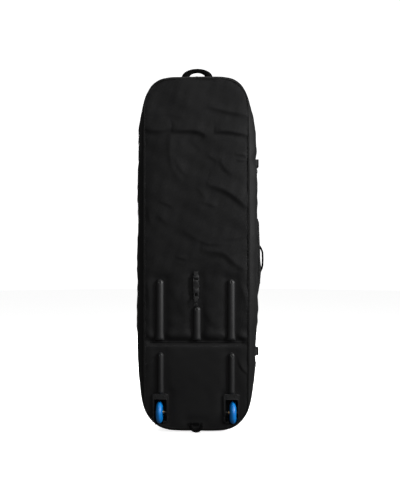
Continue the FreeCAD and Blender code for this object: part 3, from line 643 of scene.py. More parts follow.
RAILS = ["rail_upper_left", "rail_upper_right", "rail_centre", "rail_lower_left", "rail_lower_right"]
HARD_PARTS = RAILS + ["wheel_housing_left", "wheel_housing_right", "back_buckle_female",
                      "back_buckle_male", "base_handle_anchors"]


def held_flat(x, z):
    """How far cloth is free to lift: 0 under a hard part, 1 well clear of them all."""
    free = np.ones_like(x)
    for node in HARD_PARTS:
        free *= 1.0 - bell(beside(x, z, node), 0.02)
    return free


# Folds of the back panel: a line of points (across, up) with its gentle side on the left,
# the height, and how far the gentle and the steep side reach. All are in metres.
UPPER_FOLDS = [
    ([(-0.214, 1.232), (-0.16, 1.224), (-0.128, 1.228), (-0.098, 1.24)], 0.007, 0.030, 0.010),
    ([(-0.1, 1.222), (-0.046, 1.224), (0.001, 1.221), (0.028, 1.212), (0.042, 1.192)], 0.009, 0.030, 0.009),
    ([(0.072, 1.218), (0.136, 1.218), (0.176, 1.211), (0.213, 1.205)], 0.009, 0.030, 0.008),
    ([(0.045, 1.321), (0.096, 1.308), (0.136, 1.298), (0.213, 1.284)], 0.006, 0.020, 0.010),
    ([(-0.18, 1.289), (-0.113, 1.292), (-0.046, 1.276)], 0.0019, 0.024, 0.009),
    ([(-0.101, 1.206), (-0.103, 1.171), (-0.105, 1.131), (-0.097, 1.09), (-0.08, 1.05), (-0.058, 1.018)],
     0.0022, 0.022, 0.010),
    ([(-0.087, 1.119), (-0.071, 1.084), (-0.048, 1.054), (-0.028, 1.036)], 0.0022, 0.016, 0.008),
    ([(-0.082, 1.201), (-0.046, 1.157)], 0.0012, 0.016, 0.010),
    ([(-0.022, 1.191), (0.028, 1.141)], 0.0012, 0.018, 0.010),
    ([(0.102, 1.118), (0.107, 1.086), (0.124, 1.063), (0.152, 1.044)], 0.0025, 0.020, 0.008),
    ([(0.046, 1.126), (0.089, 1.1)], 0.0019, 0.014, 0.008),
    ([(0.155, 1.129), (0.19, 1.124), (0.21, 1.114)], 0.0031, 0.010, 0.006),
    ([(0.162, 1.101), (0.19, 1.101), (0.211, 1.105)], 0.0025, 0.009, 0.004),
    ([(0.04, 1.008), (0.096, 0.992), (0.149, 0.963), (0.186, 0.932), (0.212, 0.905)], 0.007, 0.034, 0.011),
    ([(0.0, 0.999), (0.024, 0.971), (0.041, 0.946)], 0.0015, 0.016, 0.008),
    ([(0.022, 0.936), (0.055, 0.928), (0.084, 0.917)], 0.0025, 0.016, 0.008),
    ([(-0.158, 0.888), (-0.136, 0.867), (-0.11, 0.848)], 0.0019, 0.018, 0.009),
    ([(-0.05, 0.824), (-0.02, 0.802), (0.015, 0.781)], 0.0019, 0.020, 0.010),
    ([(-0.192, 0.912), (-0.188, 0.875), (-0.177, 0.842)], 0.0015, 0.012, 0.008),
    ([(-0.148, 0.937), (-0.113, 0.926), (-0.09, 0.913)], 0.0019, 0.014, 0.006),
    ([(0.105, 0.784), (0.163, 0.791), (0.209, 0.801)], 0.0019, 0.018, 0.007),
    ([(0.008, 0.784), (0.048, 0.767), (0.102, 0.766)], 0.0025, 0.015, 0.006),
    ([(0.018, 0.739), (0.066, 0.738), (0.112, 0.728), (0.158, 0.690), (0.206, 0.658)], 0.006, 0.034, 0.012),
    ([(-0.084, 0.716), (-0.036, 0.703)], 0.0025, 0.013, 0.005),
    ([(0.022, 0.519), (0.052, 0.468), (0.098, 0.424)], 0.0019, 0.026, 0.012),
    ([(-0.112, 0.602), (-0.07, 0.54), (-0.042, 0.472)], 0.0019, 0.028, 0.014),
    ([(0.172, 0.620), (0.196, 0.56), (0.204, 0.49)], 0.0019, 0.014, 0.008),
    ([(-0.202, 0.640), (-0.188, 0.55), (-0.186, 0.43)], 0.0019, 0.014, 0.008),
    ([(0.090, 0.406), (0.12, 0.394), (0.15, 0.384)], 0.0025, 0.010, 0.005),
    ([(0.157, 0.402), (0.18, 0.392), (0.209, 0.388)], 0.0025, 0.010, 0.005),
    ([(-0.2, 0.404), (-0.185, 0.392), (-0.165, 0.388)], 0.0019, 0.010, 0.005),
]
BASE_FOLDS = [
    ([(-0.154, 0.316), (-0.166, 0.305), (-0.183, 0.288), (-0.21, 0.272)], 0.004, 0.012, 0.004),
    ([(0.163, 0.321), (0.171, 0.294), (0.186, 0.264), (0.209, 0.243)], 0.004, 0.012, 0.004),
]


def across_at(z, line):
    """How far across a rising line is at a height. Level stretches are made to rise a little."""
    rising = np.maximum.accumulate(line[:, 1]) + np.arange(len(line)) * 1e-9
    return np.interp(z, rising, line[:, 0])


def panel_half_width(z):
    """Half the back panel's width at a height, from the seam outline."""
    return across_at(z, to_seam(half_outline(600)))


def pillow(x, z, low, high, height, reach):
    """A panel's crown: it leaves the seam steeply and levels off, height times
    1 - exp(-distance from the nearest edge / reach)."""
    side = np.maximum(panel_half_width(z) - np.abs(x), 0.0)
    edge = np.minimum(side, np.minimum(np.maximum(z - low, 0.0), np.maximum(high - z, 0.0)))
    return height * (1.0 - np.exp(-edge / reach))


def puckers(along, distance, height=0.0007, pitch=0.0125):
    """Small gathers square to a seam: a wave along it whose pace wanders, fading within a
    centimetre of the seam."""
    wander = 2.0 * np.sin(along * 31.0) + 1.3 * np.sin(along * 77.0 + 1.0)
    return height * np.sin(2.0 * math.pi * along / pitch + wander) * np.exp(-distance / 0.009)


def upper_lift(x, z):
    """How far the upper back panel stands out behind the seam plane."""
    lift = pillow(x, z, CREASE_Z - 0.05, PANEL_TOP, 0.005, 0.02)
    for points, height, gentle, steep in UPPER_FOLDS:
        lift = lift + crease(x, z, points, height, gentle, steep)
    lift = lift + swell(x, z, 3, 0.16, 0.0035) + swell(x, z, 8, 0.06, 0.0014) + swell(x, z, 9, 0.025, 0.0004)
    lift = lift * held_flat(x, z)
    roll = 0.004 * bell(z - CREASE_Z - 0.027, 0.018) - 0.008 * bell(z - CREASE_Z, 0.012)
    firm = 1.0 - 0.75 * bell(np.minimum.reduce([beside(x, z, node) for node in RAILS]), 0.012)
    seam = panel_half_width(z) - np.abs(x)
    lift = lift + roll * firm * smooth_step(seam, 0.0, 0.03)
    return lift + puckers(z + np.sign(x), np.maximum(seam, 0.0))


def base_lift(x, z):
    """How far the stiffer base part of the back panel stands out."""
    lift = pillow(x, z, BASE_RISE, CREASE_Z + 0.02, 0.004, 0.02)
    for points, height, gentle, steep in BASE_FOLDS:
        lift = lift + crease(x, z, points, height, gentle, steep)
    lift = lift + swell(x, z, 5, 0.22, 0.0015) + swell(x, z, 6, 0.05, 0.0006)
    lift = lift * held_flat(x, z)
    seam = panel_half_width(z) - np.abs(x)
    lift = lift - 0.011 * bell(z - CREASE_Z, 0.013) * smooth_step(seam, 0.0, 0.03)
    return lift + puckers(z + np.sign(x), np.maximum(seam, 0.0), 0.0004)


def panel_grid(low, high, columns, spacing, y, lift):
    """A panel's outer face between two heights. Each row runs from seam to seam, rows are
    evenly spaced along the seam, and lift moves each point out of the seam plane."""
    seam = to_seam(half_outline(1200))
    inside = (seam[:, 1] >= low - 1e-6) & (seam[:, 1] <= high + 1e-6) & (seam[:, 0] > 0.1)
    side = seam[inside]
    length = np.linalg.norm(np.diff(side, axis=0), axis=1).sum()
    side = even(side, int(length / spacing))
    across = np.sin(np.linspace(-1.0, 1.0, columns) * math.radians(72)) / math.sin(math.radians(72))
    x = side[:, None, 0] * across[None]
    z = np.broadcast_to(side[:, None, 1], x.shape)
    sign = math.copysign(1.0, y)
    return np.stack([x, y + sign * lift(x, z), z], axis=-1)


def thickened(front, depth):
    """The inner face of a panel: the outer face moved in by depth, smoothed towards flat."""
    back = front.copy()
    back[..., 1] = front[..., 1] * 0.35 + np.sign(front[..., 1]) * HALF_DEPTH * 0.65
    back[..., 1] -= np.sign(front[..., 1]) * depth
    return back


def with_holes(obj, boxes):
    """Cut square holes through a panel, each given by its lowest and highest corner."""
    for low, high in boxes:
        bpy.ops.mesh.primitive_cube_add()
        tool = bpy.context.object
        tool.location = (np.array(low) + np.array(high)) / 2
        tool.scale = (np.array(high) - np.array(low)) / 2
        bpy.context.view_layer.update()
        cutter = obj.modifiers.new("hole", "BOOLEAN")
        cutter.object = tool
        cutter.solver = "EXACT"
        finished(obj)
        bpy.data.objects.remove(tool)
    obj.data.shade_smooth()
    obj.data.set_sharp_from_angle(angle=math.radians(50))
    return obj


def wheel_holes():
    """The holes of the base panel: one behind each housing's frame, and a lower one for
    the tyre."""
    boxes = []
    for side in ("left", "right"):
        low, high = (np.array(corner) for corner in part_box("wheel_housing_" + side))
        boxes.append(((low[0] + 0.003, low[1] - 0.02, 0.0485), high - 0.003))
        low, high = (np.array(corner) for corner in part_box("tyre_" + side))
        boxes.append((low - (0.002, 0.0, 0.003), (high[0] + 0.002, high[1], 0.06)))
    return boxes


def make_back_panels():
    """The soft upper back panel and the stiffer base part below the fold."""
    upper = panel_grid(CREASE_Z - 0.004, PANEL_TOP, 116, 0.0042, BACK_Y, upper_lift)
    obj = make("back_panel_upper", slab(upper, thickened(upper, WALL)), SHELL_CLOTH, "bag",
               ["back_panel"], inside=LINING_CLOTH)
    base = panel_grid(BASE_RISE, CREASE_Z + 0.006, 110, 0.0045, BACK_Y, base_lift)
    obj = make("back_panel_base", slab(base, thickened(base, WALL)), BASE_CLOTH, "bag",
               inside=LINING_CLOTH)
    with_holes(obj, wheel_holes())


def gusset_lift(points):
    """Unevenness of the gusset, outwards: slow swells, and soft folds on the long sides."""
    x, y, z = points[..., 0], points[..., 1], points[..., 2]
    around = z + np.sign(x) * 0.37
    lift = swell(around, y * 1.6, 11, 0.16, 0.0052) + swell(around, y, 14, 0.055, 0.0024)
    free = smooth_step(z, 0.30, 0.45) * (1.0 - smooth_step(z, 1.3, 1.4))
    lift = lift * (0.25 + 0.75 * free)
    right = smooth_step(x, 0.0, 0.1)
    full = smooth_step(z, 0.38, 0.56) * (1.0 - smooth_step(z, 1.25, 1.36))
    lift = lift + right * 0.006 * full
    for height, pinch in ((1.106, 0.006), (0.315, 0.002)):
        lift = lift - right * pinch * bell(z - height, 0.024)
    ends = np.minimum(np.abs(y - BACK_Y), np.abs(y - ZIP_BODY_Y))
    lift = lift * smooth_step(ends, 0.0, 0.03)
    return lift + puckers(around, ends, 0.0006, 0.014)


def side_reach(z):
    """How far out the right side's cloth stands at a height, in the middle of the depth."""
    x = across_at(z, half_outline(600))
    return x + gusset_lift(np.stack([x, np.zeros_like(z), z], axis=-1))


def make_gussets():
    """The main gusset and the lid's gusset, each a double wall that runs all the way round."""
    count = 560
    for name, low, high, body, nodes in (
            ("main_gusset", BACK_Y, ZIP_BODY_Y, "bag",
             ["base_shell", "side_wall_left", "side_wall_right", "top_wall"]),
            ("lid_gusset", ZIP_LID_Y, LID_Y, "lid",
             ["lid_rim_base", "lid_rim_left", "lid_rim_right", "lid_rim_top"])):
        depths = np.linspace(low, high, max(int((high - low) / 0.006), 9))
        outer = shell_grid(count, depths)
        if body == "bag":
            middle = whole_outline(count)
            way = -inward(middle)[:, None]
            lift = gusset_lift(outer)
            outer[..., 0] += way[..., 0] * lift
            outer[..., 2] += way[..., 1] * lift
            outer[..., 2] = np.maximum(outer[..., 2], 0.0004)
        inner = shell_grid(count, depths * 0.97, WALL)
        obj = make(name, slab(outer, inner, wrap=True), SHELL_CLOTH, body, nodes,
                   inside=LINING_CLOTH)


def lid_lift(x, z):
    """How far the lid panel stands out: a pillow, sagging a little low down, with loose folds."""
    lift = pillow(x, z, BASE_RISE, PANEL_TOP, 0.004, 0.03)
    for points in ([(-0.16, 1.03), (-0.02, 1.0), (0.17, 0.95)], [(-0.13, 0.63), (0.02, 0.68), (0.18, 0.73)],
                   [(-0.19, 0.43), (-0.07, 0.39), (0.06, 0.38)], [(-0.1, 1.27), (0.03, 1.26), (0.16, 1.22)],
                   [(0.02, 0.88), (0.09, 0.84), (0.13, 0.78)]):
        lift = lift + crease(x, z, points, 0.0045, 0.024, 0.008)
    lift = lift + swell(x, z, 21, 0.2, 0.0035) + swell(x, z, 23, 0.07, 0.001)
    for node in ("lid_strap_upper", "lid_strap_lower"):
        low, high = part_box(node)
        lift = lift - 0.004 * bell(z - (low[2] + high[2]) / 2, 0.022)
    seam = np.maximum(panel_half_width(z) - np.abs(x), 0.0)
    return np.minimum(lift, 0.0052) + puckers(z + np.sign(x), seam)


def make_lid():
    """The lid's outer panel."""
    front = panel_grid(BASE_RISE, PANEL_TOP, 100, 0.005, LID_Y, lid_lift)
    obj = make("lid_front", slab(front, thickened(front, WALL)), SHELL_CLOTH, "lid",
               ["lid_panel"], inside=LINING_CLOTH)


def make_piping():
    """Corded piping along both seams: a round cord in a folded strip whose two edges meet as
    a small fin."""
    for name, y, body, node in (("back_piping", BACK_Y - 0.0012, "bag", "piping_back"),
                                ("lid_piping", LID_Y + 0.0012, "lid", "piping_lid")):
        seam = to_seam(whole_outline(720))
        path = np.stack([seam[:, 0], np.full(len(seam), y), seam[:, 1]], axis=1)
        shape = carried(path, (0.0, 1.0, 0.0), rounded(2 * PIPING, 2 * PIPING, 2.0, 12), closed=True)
        make(name, shape, PIPING_CLOTH, body, [node])


# ------------------------------------------------------------------ zip

def ordered_zip(count):
    """The zip's part of the outline in order: from the left of the base, up the right side, to
    the left of the top."""
    half = half_outline(count)
    left = half * np.array([-1.0, 1.0])
    base = left[left[:, 1] < 0.5]
    base = base[np.abs(base[:, 0]) < 0.125][1:]
    top = left[left[:, 1] > 0.5]
    top = top[np.abs(top[:, 0]) < 0.135][:-1]
    return np.vstack([base[::-1], half, top[::-1]])


def shell_at(outline, y, inset):
    """Points of the shell's surface over part of the outline, at one depth."""
    seam = to_seam(outline)
    share = abs(y / HALF_DEPTH) ** BULGE_POWER
    flat = outline + (seam - outline) * share
    run = np.gradient(outline, axis=0)
    run /= np.linalg.norm(run, axis=1)[:, None]
    inside = np.stack([-run[:, 1], run[:, 0]], axis=1)
    flat = flat + inside * inset
    return np.stack([flat[:, 0], np.full(len(flat), y), flat[:, 1]], axis=1), inside


def tape_between(outline, low_y, high_y, inset, thick):
    """A thin strip along part of the outline between two depths."""
    depths = np.linspace(low_y, high_y, 5)
    outer = np.stack([shell_at(outline, y, inset)[0] for y in depths], axis=1)
    inner = np.stack([shell_at(outline, y, inset + thick)[0] for y in depths], axis=1)
    return slab(outer, inner)


def coil_shape(way):
    """One turn of a zip coil, in its own axes: along the zip, across it and outwards. It is an
    arch of a round wire from the tape's edge to the middle of the zip."""
    angle = np.linspace(0.15, math.pi - 0.15, 6)
    path = np.stack([np.linspace(-0.0005, 0.0005, 6), way * (0.0011 - 0.0011 * np.cos(angle)),
                     0.0011 * np.sin(angle) + 0.0001], axis=1)
    return carried(path, (1.0, 0.0, 0.0), rounded(0.0009, 0.0009, 2.0, 5))


def make_zip():
    """Tapes, coils and the cloth hinge."""
    outline = ordered_zip(330)
    middle_gap = 0.0004
    for name, low, high, body in (("body", ZIP_BODY_Y - 0.004, ZIP_Y - middle_gap, "bag"),
                                  ("lid", ZIP_Y + middle_gap, ZIP_LID_Y + 0.004, "lid")):
        make("zip_tape_strip_" + name, tape_between(outline, low, high, 0.0018, 0.0012), TAPE_CLOTH,
             body, ["zip_tape_" + name])
        way = 1.0 if body == "lid" else -1.0
        spots = even(outline, COIL_TURNS)
        places, inside = shell_at(spots, ZIP_Y, 0.0019)
        run = np.gradient(places, axis=0)
        run /= np.linalg.norm(run, axis=1)[:, None]
        out = np.stack([-inside[:, 0], np.zeros(len(inside)), -inside[:, 1]], axis=1)
        across = np.broadcast_to(np.array([0.0, 1.0, 0.0]), run.shape)
        axes = np.stack([run, across, out], axis=1)
        places = places + np.array([0.0, way * 0.00005, 0.0])
        make("zip_coil_turns_" + name, repeated(coil_shape(way), places, axes), COIL_NYLON, body,
             ["zip_coil_" + name])


def make_hinge():
    """The cloth on the left side that joins the lid to the bag."""
    left = half_outline(300) * np.array([-1.0, 1.0])
    run = left[np.abs(left[:, 0]) > 0.11][::-1]
    depths = np.linspace(ZIP_BODY_Y - 0.003, ZIP_LID_Y + 0.003, 9)
    outer = np.stack([shell_at(run, y, 0.0008)[0] for y in depths], axis=1)
    inner = np.stack([shell_at(run, y, 0.0024)[0] for y in depths], axis=1)
    obj = make("hinge_cloth", slab(outer, inner), SHELL_CLOTH, None, ["lid_hinge_cloth"])
    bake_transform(obj)


# ------------------------------------------------------------------ straps

def strap(name, path, side, width, thick, body, nodes=(), material=None):
    """A flat strap along a path."""
    shape = carried(path, side, rounded(width, thick, 6.0, 20))
    return make(name, shape, material or STRAP_WEB, body, nodes, sharp=60)


def stitch_shape(length, thick):
    """One stitch in its own axes: a short square thread, highest in the middle. Its end faces,
    which are under the cloth, are left off."""
    sides = 4
    t = np.array([-1.0, -0.5, 0.5, 1.0])
    path = np.stack([t * length / 2, np.zeros(4), thick * (0.7 - 1.1 * t ** 2)], axis=1)
    points, faces, uv = carried(path, (0.0, 1.0, 0.0), rounded(thick, thick, 2.0, sides))
    return points, faces[:sides * (len(t) - 1)], uv


def stitches(name, lines, out, body):
    """Rows of stitches along straight or curved lines. out is the direction they face."""
    parts = []
    out = np.asarray(out, float)
    for line in lines:
        line = np.asarray(line, float)
        length = np.linalg.norm(np.diff(line, axis=0), axis=1).sum()
        spots = even(line, max(int(length / STITCH_PITCH), 2))
        run = np.gradient(spots, axis=0)
        run /= np.linalg.norm(run, axis=1)[:, None]
        facing = np.broadcast_to(out, run.shape)
        across = np.cross(facing, run)
        axes = np.stack([run, across, facing], axis=1)
        parts.append(repeated(stitch_shape(STITCH_PITCH * 0.72, STITCH_THICK), spots, axes))
    return make(name, joined(*parts), THREAD, body, ())


def box_stitch(centre, half_a, half_b, along, across):
    """Lines of a sewn box with a cross in it."""
    centre, along, across = (np.asarray(v, float) for v in (centre, along, across))
    corners = [centre + along * half_a * a + across * half_b * b
               for a, b in ((-1, -1), (1, -1), (1, 1), (-1, 1))]
    edges = [(corners[i], corners[(i + 1) % 4]) for i in range(4)]
    return edges + [(corners[0], corners[2]), (corners[1], corners[3])]


def corner_path(points, count, softness):
    """A path through points with each inner corner rounded by a quadratic curve that starts
    and ends at a share of the shorter neighbouring run."""
    spots = np.asarray(points, float)
    t = np.linspace(0.0, 1.0, count)[:, None]
    parts = [spots[:1]]
    for i in range(1, len(spots) - 1):
        before, here, after = spots[i - 1], spots[i], spots[i + 1]
        reach = softness * min(np.linalg.norm(here - before), np.linalg.norm(after - here))
        start = here + (before - here) / np.linalg.norm(before - here) * reach
        end = here + (after - here) / np.linalg.norm(after - here) * reach
        parts.append(start * (1 - t) ** 2 + here * 2 * t * (1 - t) + end * t ** 2)
    parts.append(spots[-1:])
    return np.concatenate(parts)


def make_lid_straps():
    """The two straps over the lid and their sewn ends."""
    for name in ("upper", "lower"):
        low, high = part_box("lid_strap_" + name)
        z = (low[2] + high[2]) / 2
        width = high[2] - low[2]
        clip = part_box("strap_clip_male_" + name)
        points = [(low[0], LID_Y + 0.0052, z), (0.0, LID_Y + 0.0056, z), (0.196, LID_Y + 0.0052, z),
                  (0.214, LID_Y + 0.0015, z), (STRAP_SIDE_X - 0.001, LID_Y - 0.028, z),
                  (STRAP_SIDE_X + 0.0046, ZIP_LID_Y - 0.004, z),
                  (STRAP_SIDE_X + 0.0055, clip[1][1] - 0.006, z)]
        path = through(corner_path(points, 6, 0.3), 90)
        strap("lid_webbing_" + name, path, (0.0, 0.0, 1.0), width, 0.0018, "lid",
              ["lid_strap_" + name])
        tail_y = clip[1][1] - 0.011
        tail = through([(STRAP_SIDE_X + 0.0125, tail_y, z - 0.004), (STRAP_SIDE_X + 0.0165, tail_y, z - 0.02),
                        (STRAP_SIDE_X + 0.0125, tail_y + 0.001, z - 0.042),
                        (STRAP_SIDE_X + 0.0075, tail_y + 0.002, z - 0.062),
                        (STRAP_SIDE_X + 0.0095, tail_y + 0.003, z - 0.078)], 50)
        strap("lid_webbing_tail_" + name, tail, (0.0, 1.0, 0.0), 0.018, 0.0016, "lid")
        centre = (low[0] + 0.022, LID_Y + 0.0063, z)
        stitches("lid_webbing_stitches_" + name,
                 box_stitch(centre, 0.016, width / 2 - 0.004, (1, 0, 0), (0, 0, 1)), (0, 1, 0), "lid")


# ------------------------------------------------------------------ hard parts

def block(low, high, radius):
    """A box with rounded edges: rounded rectangles stacked upwards and drawn in by
    radius (1 - sin(angle)) towards both ends."""
    low, high = np.asarray(low, float), np.asarray(high, float)
    middle, half = (low + high) / 2, (high - low) / 2
    turn = np.linspace(0.0, math.pi / 2, 4)
    corner = np.concatenate([turn + quarter * math.pi / 2 for quarter in range(4)])
    sign_x = np.repeat([1.0, -1.0, -1.0, 1.0], 4)
    sign_y = np.repeat([1.0, 1.0, -1.0, -1.0], 4)
    edge = np.radians([14.0, 42.0, 68.0, 90.0])
    drawn = np.concatenate([radius * (1 - np.sin(edge)), radius * (1 - np.sin(edge[::-1]))])
    level = np.concatenate([-half[2] + radius * (1 - np.cos(edge)),
                            half[2] - radius * (1 - np.cos(edge[::-1]))])
    rings = np.zeros((len(level), len(corner), 3))
    reach = (radius - drawn)[:, None]
    rings[..., 0] = middle[0] + sign_x * (half[0] - radius) + reach * np.cos(corner)
    rings[..., 1] = middle[1] + sign_y * (half[1] - radius) + reach * np.sin(corner)
    rings[..., 2] = middle[2] + level[:, None]
    return tube(rings)


def turned(profile, centre, count):
    """A closed profile of (along, radius) turned once round a line in X."""
    angle = np.linspace(0.0, 2.0 * math.pi, count, endpoint=False)[:, None]
    along, radius = np.asarray(profile, float).T[:, None]
    rings = np.zeros((count, len(profile), 3))
    rings[..., 0] = along
    rings[..., 1] = radius * np.cos(angle)
    rings[..., 2] = radius * np.sin(angle)
    return tube(rings + np.asarray(centre, float), closed=True)


def screw_head(centre, radius, tall):
    """A round head that faces the back, with a six-sided socket."""
    level = tall * np.array([0.0, 0.55, 0.85, 1.0, 1.0, 0.5, 0.5])
    share = np.array([1.0, 1.0, 0.92, 0.75, 0.5, 0.48, 0.05])
    angle = np.linspace(0.0, 2.0 * math.pi, 24, endpoint=False)
    six = 0.87 / np.cos((angle + math.pi / 6) % (math.pi / 3) - math.pi / 6)
    shape = np.where(share[:, None] < 0.6, six, 1.0) * share[:, None] * radius
    rings = np.stack([shape * np.cos(angle), np.broadcast_to(-level[:, None], shape.shape),
                      shape * np.sin(angle)], axis=-1)
    return tube(rings + np.asarray(centre, float))


def rail_shape(node):
    """A half-round skid rail: an arch about its centre line with a hooded round top and, on
    the upper rails, a flared foot. A dimple near the top takes a screw."""
    low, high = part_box(node)
    middle, foot, top = (low[0] + high[0]) / 2, low[2], high[2]
    half, proud = 0.0128 if "lower" in node else 0.0158, high[1] - low[1]
    hood = np.radians(np.linspace(0.0, 84.0, 14))
    z = np.concatenate([np.arange(foot, top - half, 0.0013), top - half + half * np.sin(hood)])
    round_top = np.sqrt(1.0 - np.clip((z - (top - half)) / half, 0.0, 0.995) ** 2)
    wide = half + max((high[0] - low[0]) / 2 - half, 0.0) * (1.0 - smooth_step(z, foot, foot + 0.035))
    wide = (wide * round_top)[:, None]
    tall = (proud * round_top ** 0.7 * (1.0 - 0.3 * (1.0 - smooth_step(z, foot, foot + 0.008))))[:, None]
    angle = np.linspace(0.0, math.pi, 40)[None, :]
    x = middle + wide * np.cos(angle)
    stand = tall * np.sin(angle) ** 1.15
    gap = np.hypot(x - middle, z[:, None] - (top - 0.0105))
    stand = stand - 0.0042 * (1.0 - smooth_step(gap, 0.0026, 0.0042))
    y = high[1] + 0.001 - np.maximum(stand, 0.0)
    rings = np.stack([x, y, np.broadcast_to(z[:, None], x.shape)], axis=-1)
    return tube(rings)


def make_rails():
    """The five skid rails and the small screws near their tops."""
    for node in RAILS:
        low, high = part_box(node)
        make("skid_" + node, rail_shape(node), RAIL_PLASTIC, "bag", [node])
        spot = ((low[0] + high[0]) / 2, low[1] + 0.0045, high[2] - 0.0105)
        make("screw_of_" + node, screw_head(spot, 0.0026, 0.0016), BLACK_OXIDE, "bag",
             sharp=35)


def bead(path, width, tall):
    """A rounded strip of plastic along a path on the housing's face."""
    return carried(path, (0.0, 1.0, 0.0), rounded(tall, width, 3.0, 10))


def make_wheels():
    """Tyres, and the raised edges of the housings they sit in, whose plastic is lighter than the housings'
    own as a painted highlight. A tyre's section is half an ellipse outside a flat bore."""
    for side in ("left", "right"):
        low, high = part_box("tyre_" + side)
        middle = (np.array(low) + np.array(high)) / 2
        half, outside = (high[0] - low[0]) / 2, (high[2] - low[2]) / 2
        turn = np.linspace(0.0, math.pi, 26)
        tread = np.stack([half * np.cos(turn), outside - 0.02 + 0.02 * np.sin(turn)], axis=1)
        line = 0.00025 * bell(tread[:, 0], 0.0006)
        bore = np.array([(-half + 0.001, outside - 0.0205), (-half + 0.0015, outside - 0.022),
                         (half - 0.0015, outside - 0.022), (half - 0.001, outside - 0.0205)])
        profile = np.vstack([tread + np.stack([np.zeros_like(line), line], axis=1), bore])
        make("roller_tyre_" + side, turned(profile, middle, 96), WHEEL_BLUE, "wheel_" + side,
             ["tyre_" + side])
        low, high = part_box("wheel_housing_" + side)
        centre, face, edge = (low[0] + high[0]) / 2, low[1] + 0.0004, (high[0] - low[0]) / 2
        top, bottom = high[2], HOUSING_FOOT_Z
        beads = []
        for inset, drop, width in ((0.0012, 0.0012, 0.0024), (0.0068, 0.0215, 0.0016)):
            path = corner_path([(centre - edge + inset, face, bottom),
                                (centre - edge + inset, face, top - drop),
                                (centre + edge - inset, face, top - drop),
                                (centre + edge - inset, face, bottom)], 8, 0.09)
            beads.append(bead(path, width, 0.0026))
        # The beads get the lighter, glossier buckle plastic, not the housing's own: the gloss is real, and
        # the lighter colour is a painted highlight that makes the edges read as light outlines.
        make("housing_edge_" + side, joined(*beads), BUCKLE_ACETAL_AND_EDGE_HIGHLIGHT, "bag")


def rod(start, end, radius, centre):
    """A round bar along X with bevelled ends."""
    x = np.array([start, start + 0.0006, end - 0.0006, end])
    size = radius - np.array([0.0006, 0.0, 0.0, 0.0006])
    angle = np.linspace(0.0, 2.0 * math.pi, 32, endpoint=False)[None, :]
    rings = np.stack([np.broadcast_to(x[:, None], (4, 32)), centre[1] + size[:, None] * np.cos(angle),
                      centre[2] + size[:, None] * np.sin(angle)], axis=-1)
    return tube(rings)


def make_axles():
    """Each wheel's dark steel axle with a bronze collar on its inner side and a nut outside."""
    for side, sign in (("left", -1.0), ("right", 1.0)):
        low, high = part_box("axle_" + side)
        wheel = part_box("tyre_" + side)
        centre = (np.array(low) + np.array(high)) / 2
        hub = sorted((wheel[0][0], wheel[1][0]), key=abs)
        shaft = rod(low[0], high[0], 0.0042, centre)
        nut = rod(*sorted((hub[1] - sign * 0.001, hub[1] + sign * 0.005)), 0.0055, centre)
        make("axle_shaft_" + side, joined(shaft, nut), BLACK_OXIDE, "bag", ["axle_" + side],
             sharp=35)
        collar = rod(*sorted((hub[0] + sign * 0.002, hub[0] - sign * 0.0052)), 0.0065, centre)
        make("axle_collar_" + side, collar, BRONZE, "bag", sharp=35)


def buckle_socket(width, length, thick):
    """The socket half of a side-release buckle in its own axes: across, outwards, and away
    from the mouth. Two plates and two walls leave room for the prongs; a bar takes the strap."""
    w, body = width / 2, 0.65 * length
    return joined(block((-w, thick - 0.0022, 0.0), (w, thick - 0.0004, body), 0.0008),
                  block((-w, 0.0, 0.0), (w, 0.0018, body), 0.0008),
                  block((-w, 0.0, 0.0), (-w + 0.0014, thick, 0.28 * body), 0.0006),
                  block((w - 0.0014, 0.0, 0.0), (w, thick, 0.28 * body), 0.0006),
                  block((-w, 0.0, 0.72 * body), (-w + 0.003, thick, body + 0.002), 0.001),
                  block((w - 0.003, 0.0, 0.72 * body), (w, thick, body + 0.002), 0.001),
                  block((-w, thick - 0.0016, 0.0), (w, thick, 0.0028), 0.0007),
                  block((-0.62 * w, thick - 0.0012, 0.55 * body), (0.62 * w, thick, 0.9 * body), 0.0006),
                  block((-w, 0.0008, body), (-w + 0.0036, thick - 0.0012, length), 0.0012),
                  block((w - 0.0036, 0.0008, body), (w, thick - 0.0012, length), 0.0012),
                  block((-w, 0.0012, length - 0.0115), (w, thick, length), 0.0022))


def buckle_plug(width, length, thick, reach):
    """The plug half, its shoulder at the mouth: a thick shoulder with two side grips, a
    narrower strap end with a bar, and two prongs that reach into the socket."""
    w = width / 2
    prong, start, front = w - 0.0026, -0.3 * length, thick - 0.0034
    return joined(block((-w, 0.0002, -0.5 * length), (w, thick, -0.0004), 0.002),
                  block((-0.6 * w, thick - 0.001, -0.42 * length),
                        (0.6 * w, thick + 0.0004, -0.14 * length), 0.0006),
                  block((-0.82 * w, 0.001, -0.8 * length), (-0.5 * w, thick - 0.0012, -0.4 * length), 0.0012),
                  block((0.5 * w, 0.001, -0.8 * length), (0.82 * w, thick - 0.0012, -0.4 * length), 0.0012),
                  block((-0.84 * w, 0.0008, -length), (0.84 * w, thick - 0.001, -0.76 * length), 0.0018),
                  block((-prong, 0.003, start), (0.004 - prong, front, reach), 0.0009),
                  block((prong - 0.004, 0.003, start), (prong, front, reach), 0.0009),
                  block((-0.0012, 0.003, start), (0.0012, front, 0.8 * reach), 0.0009))


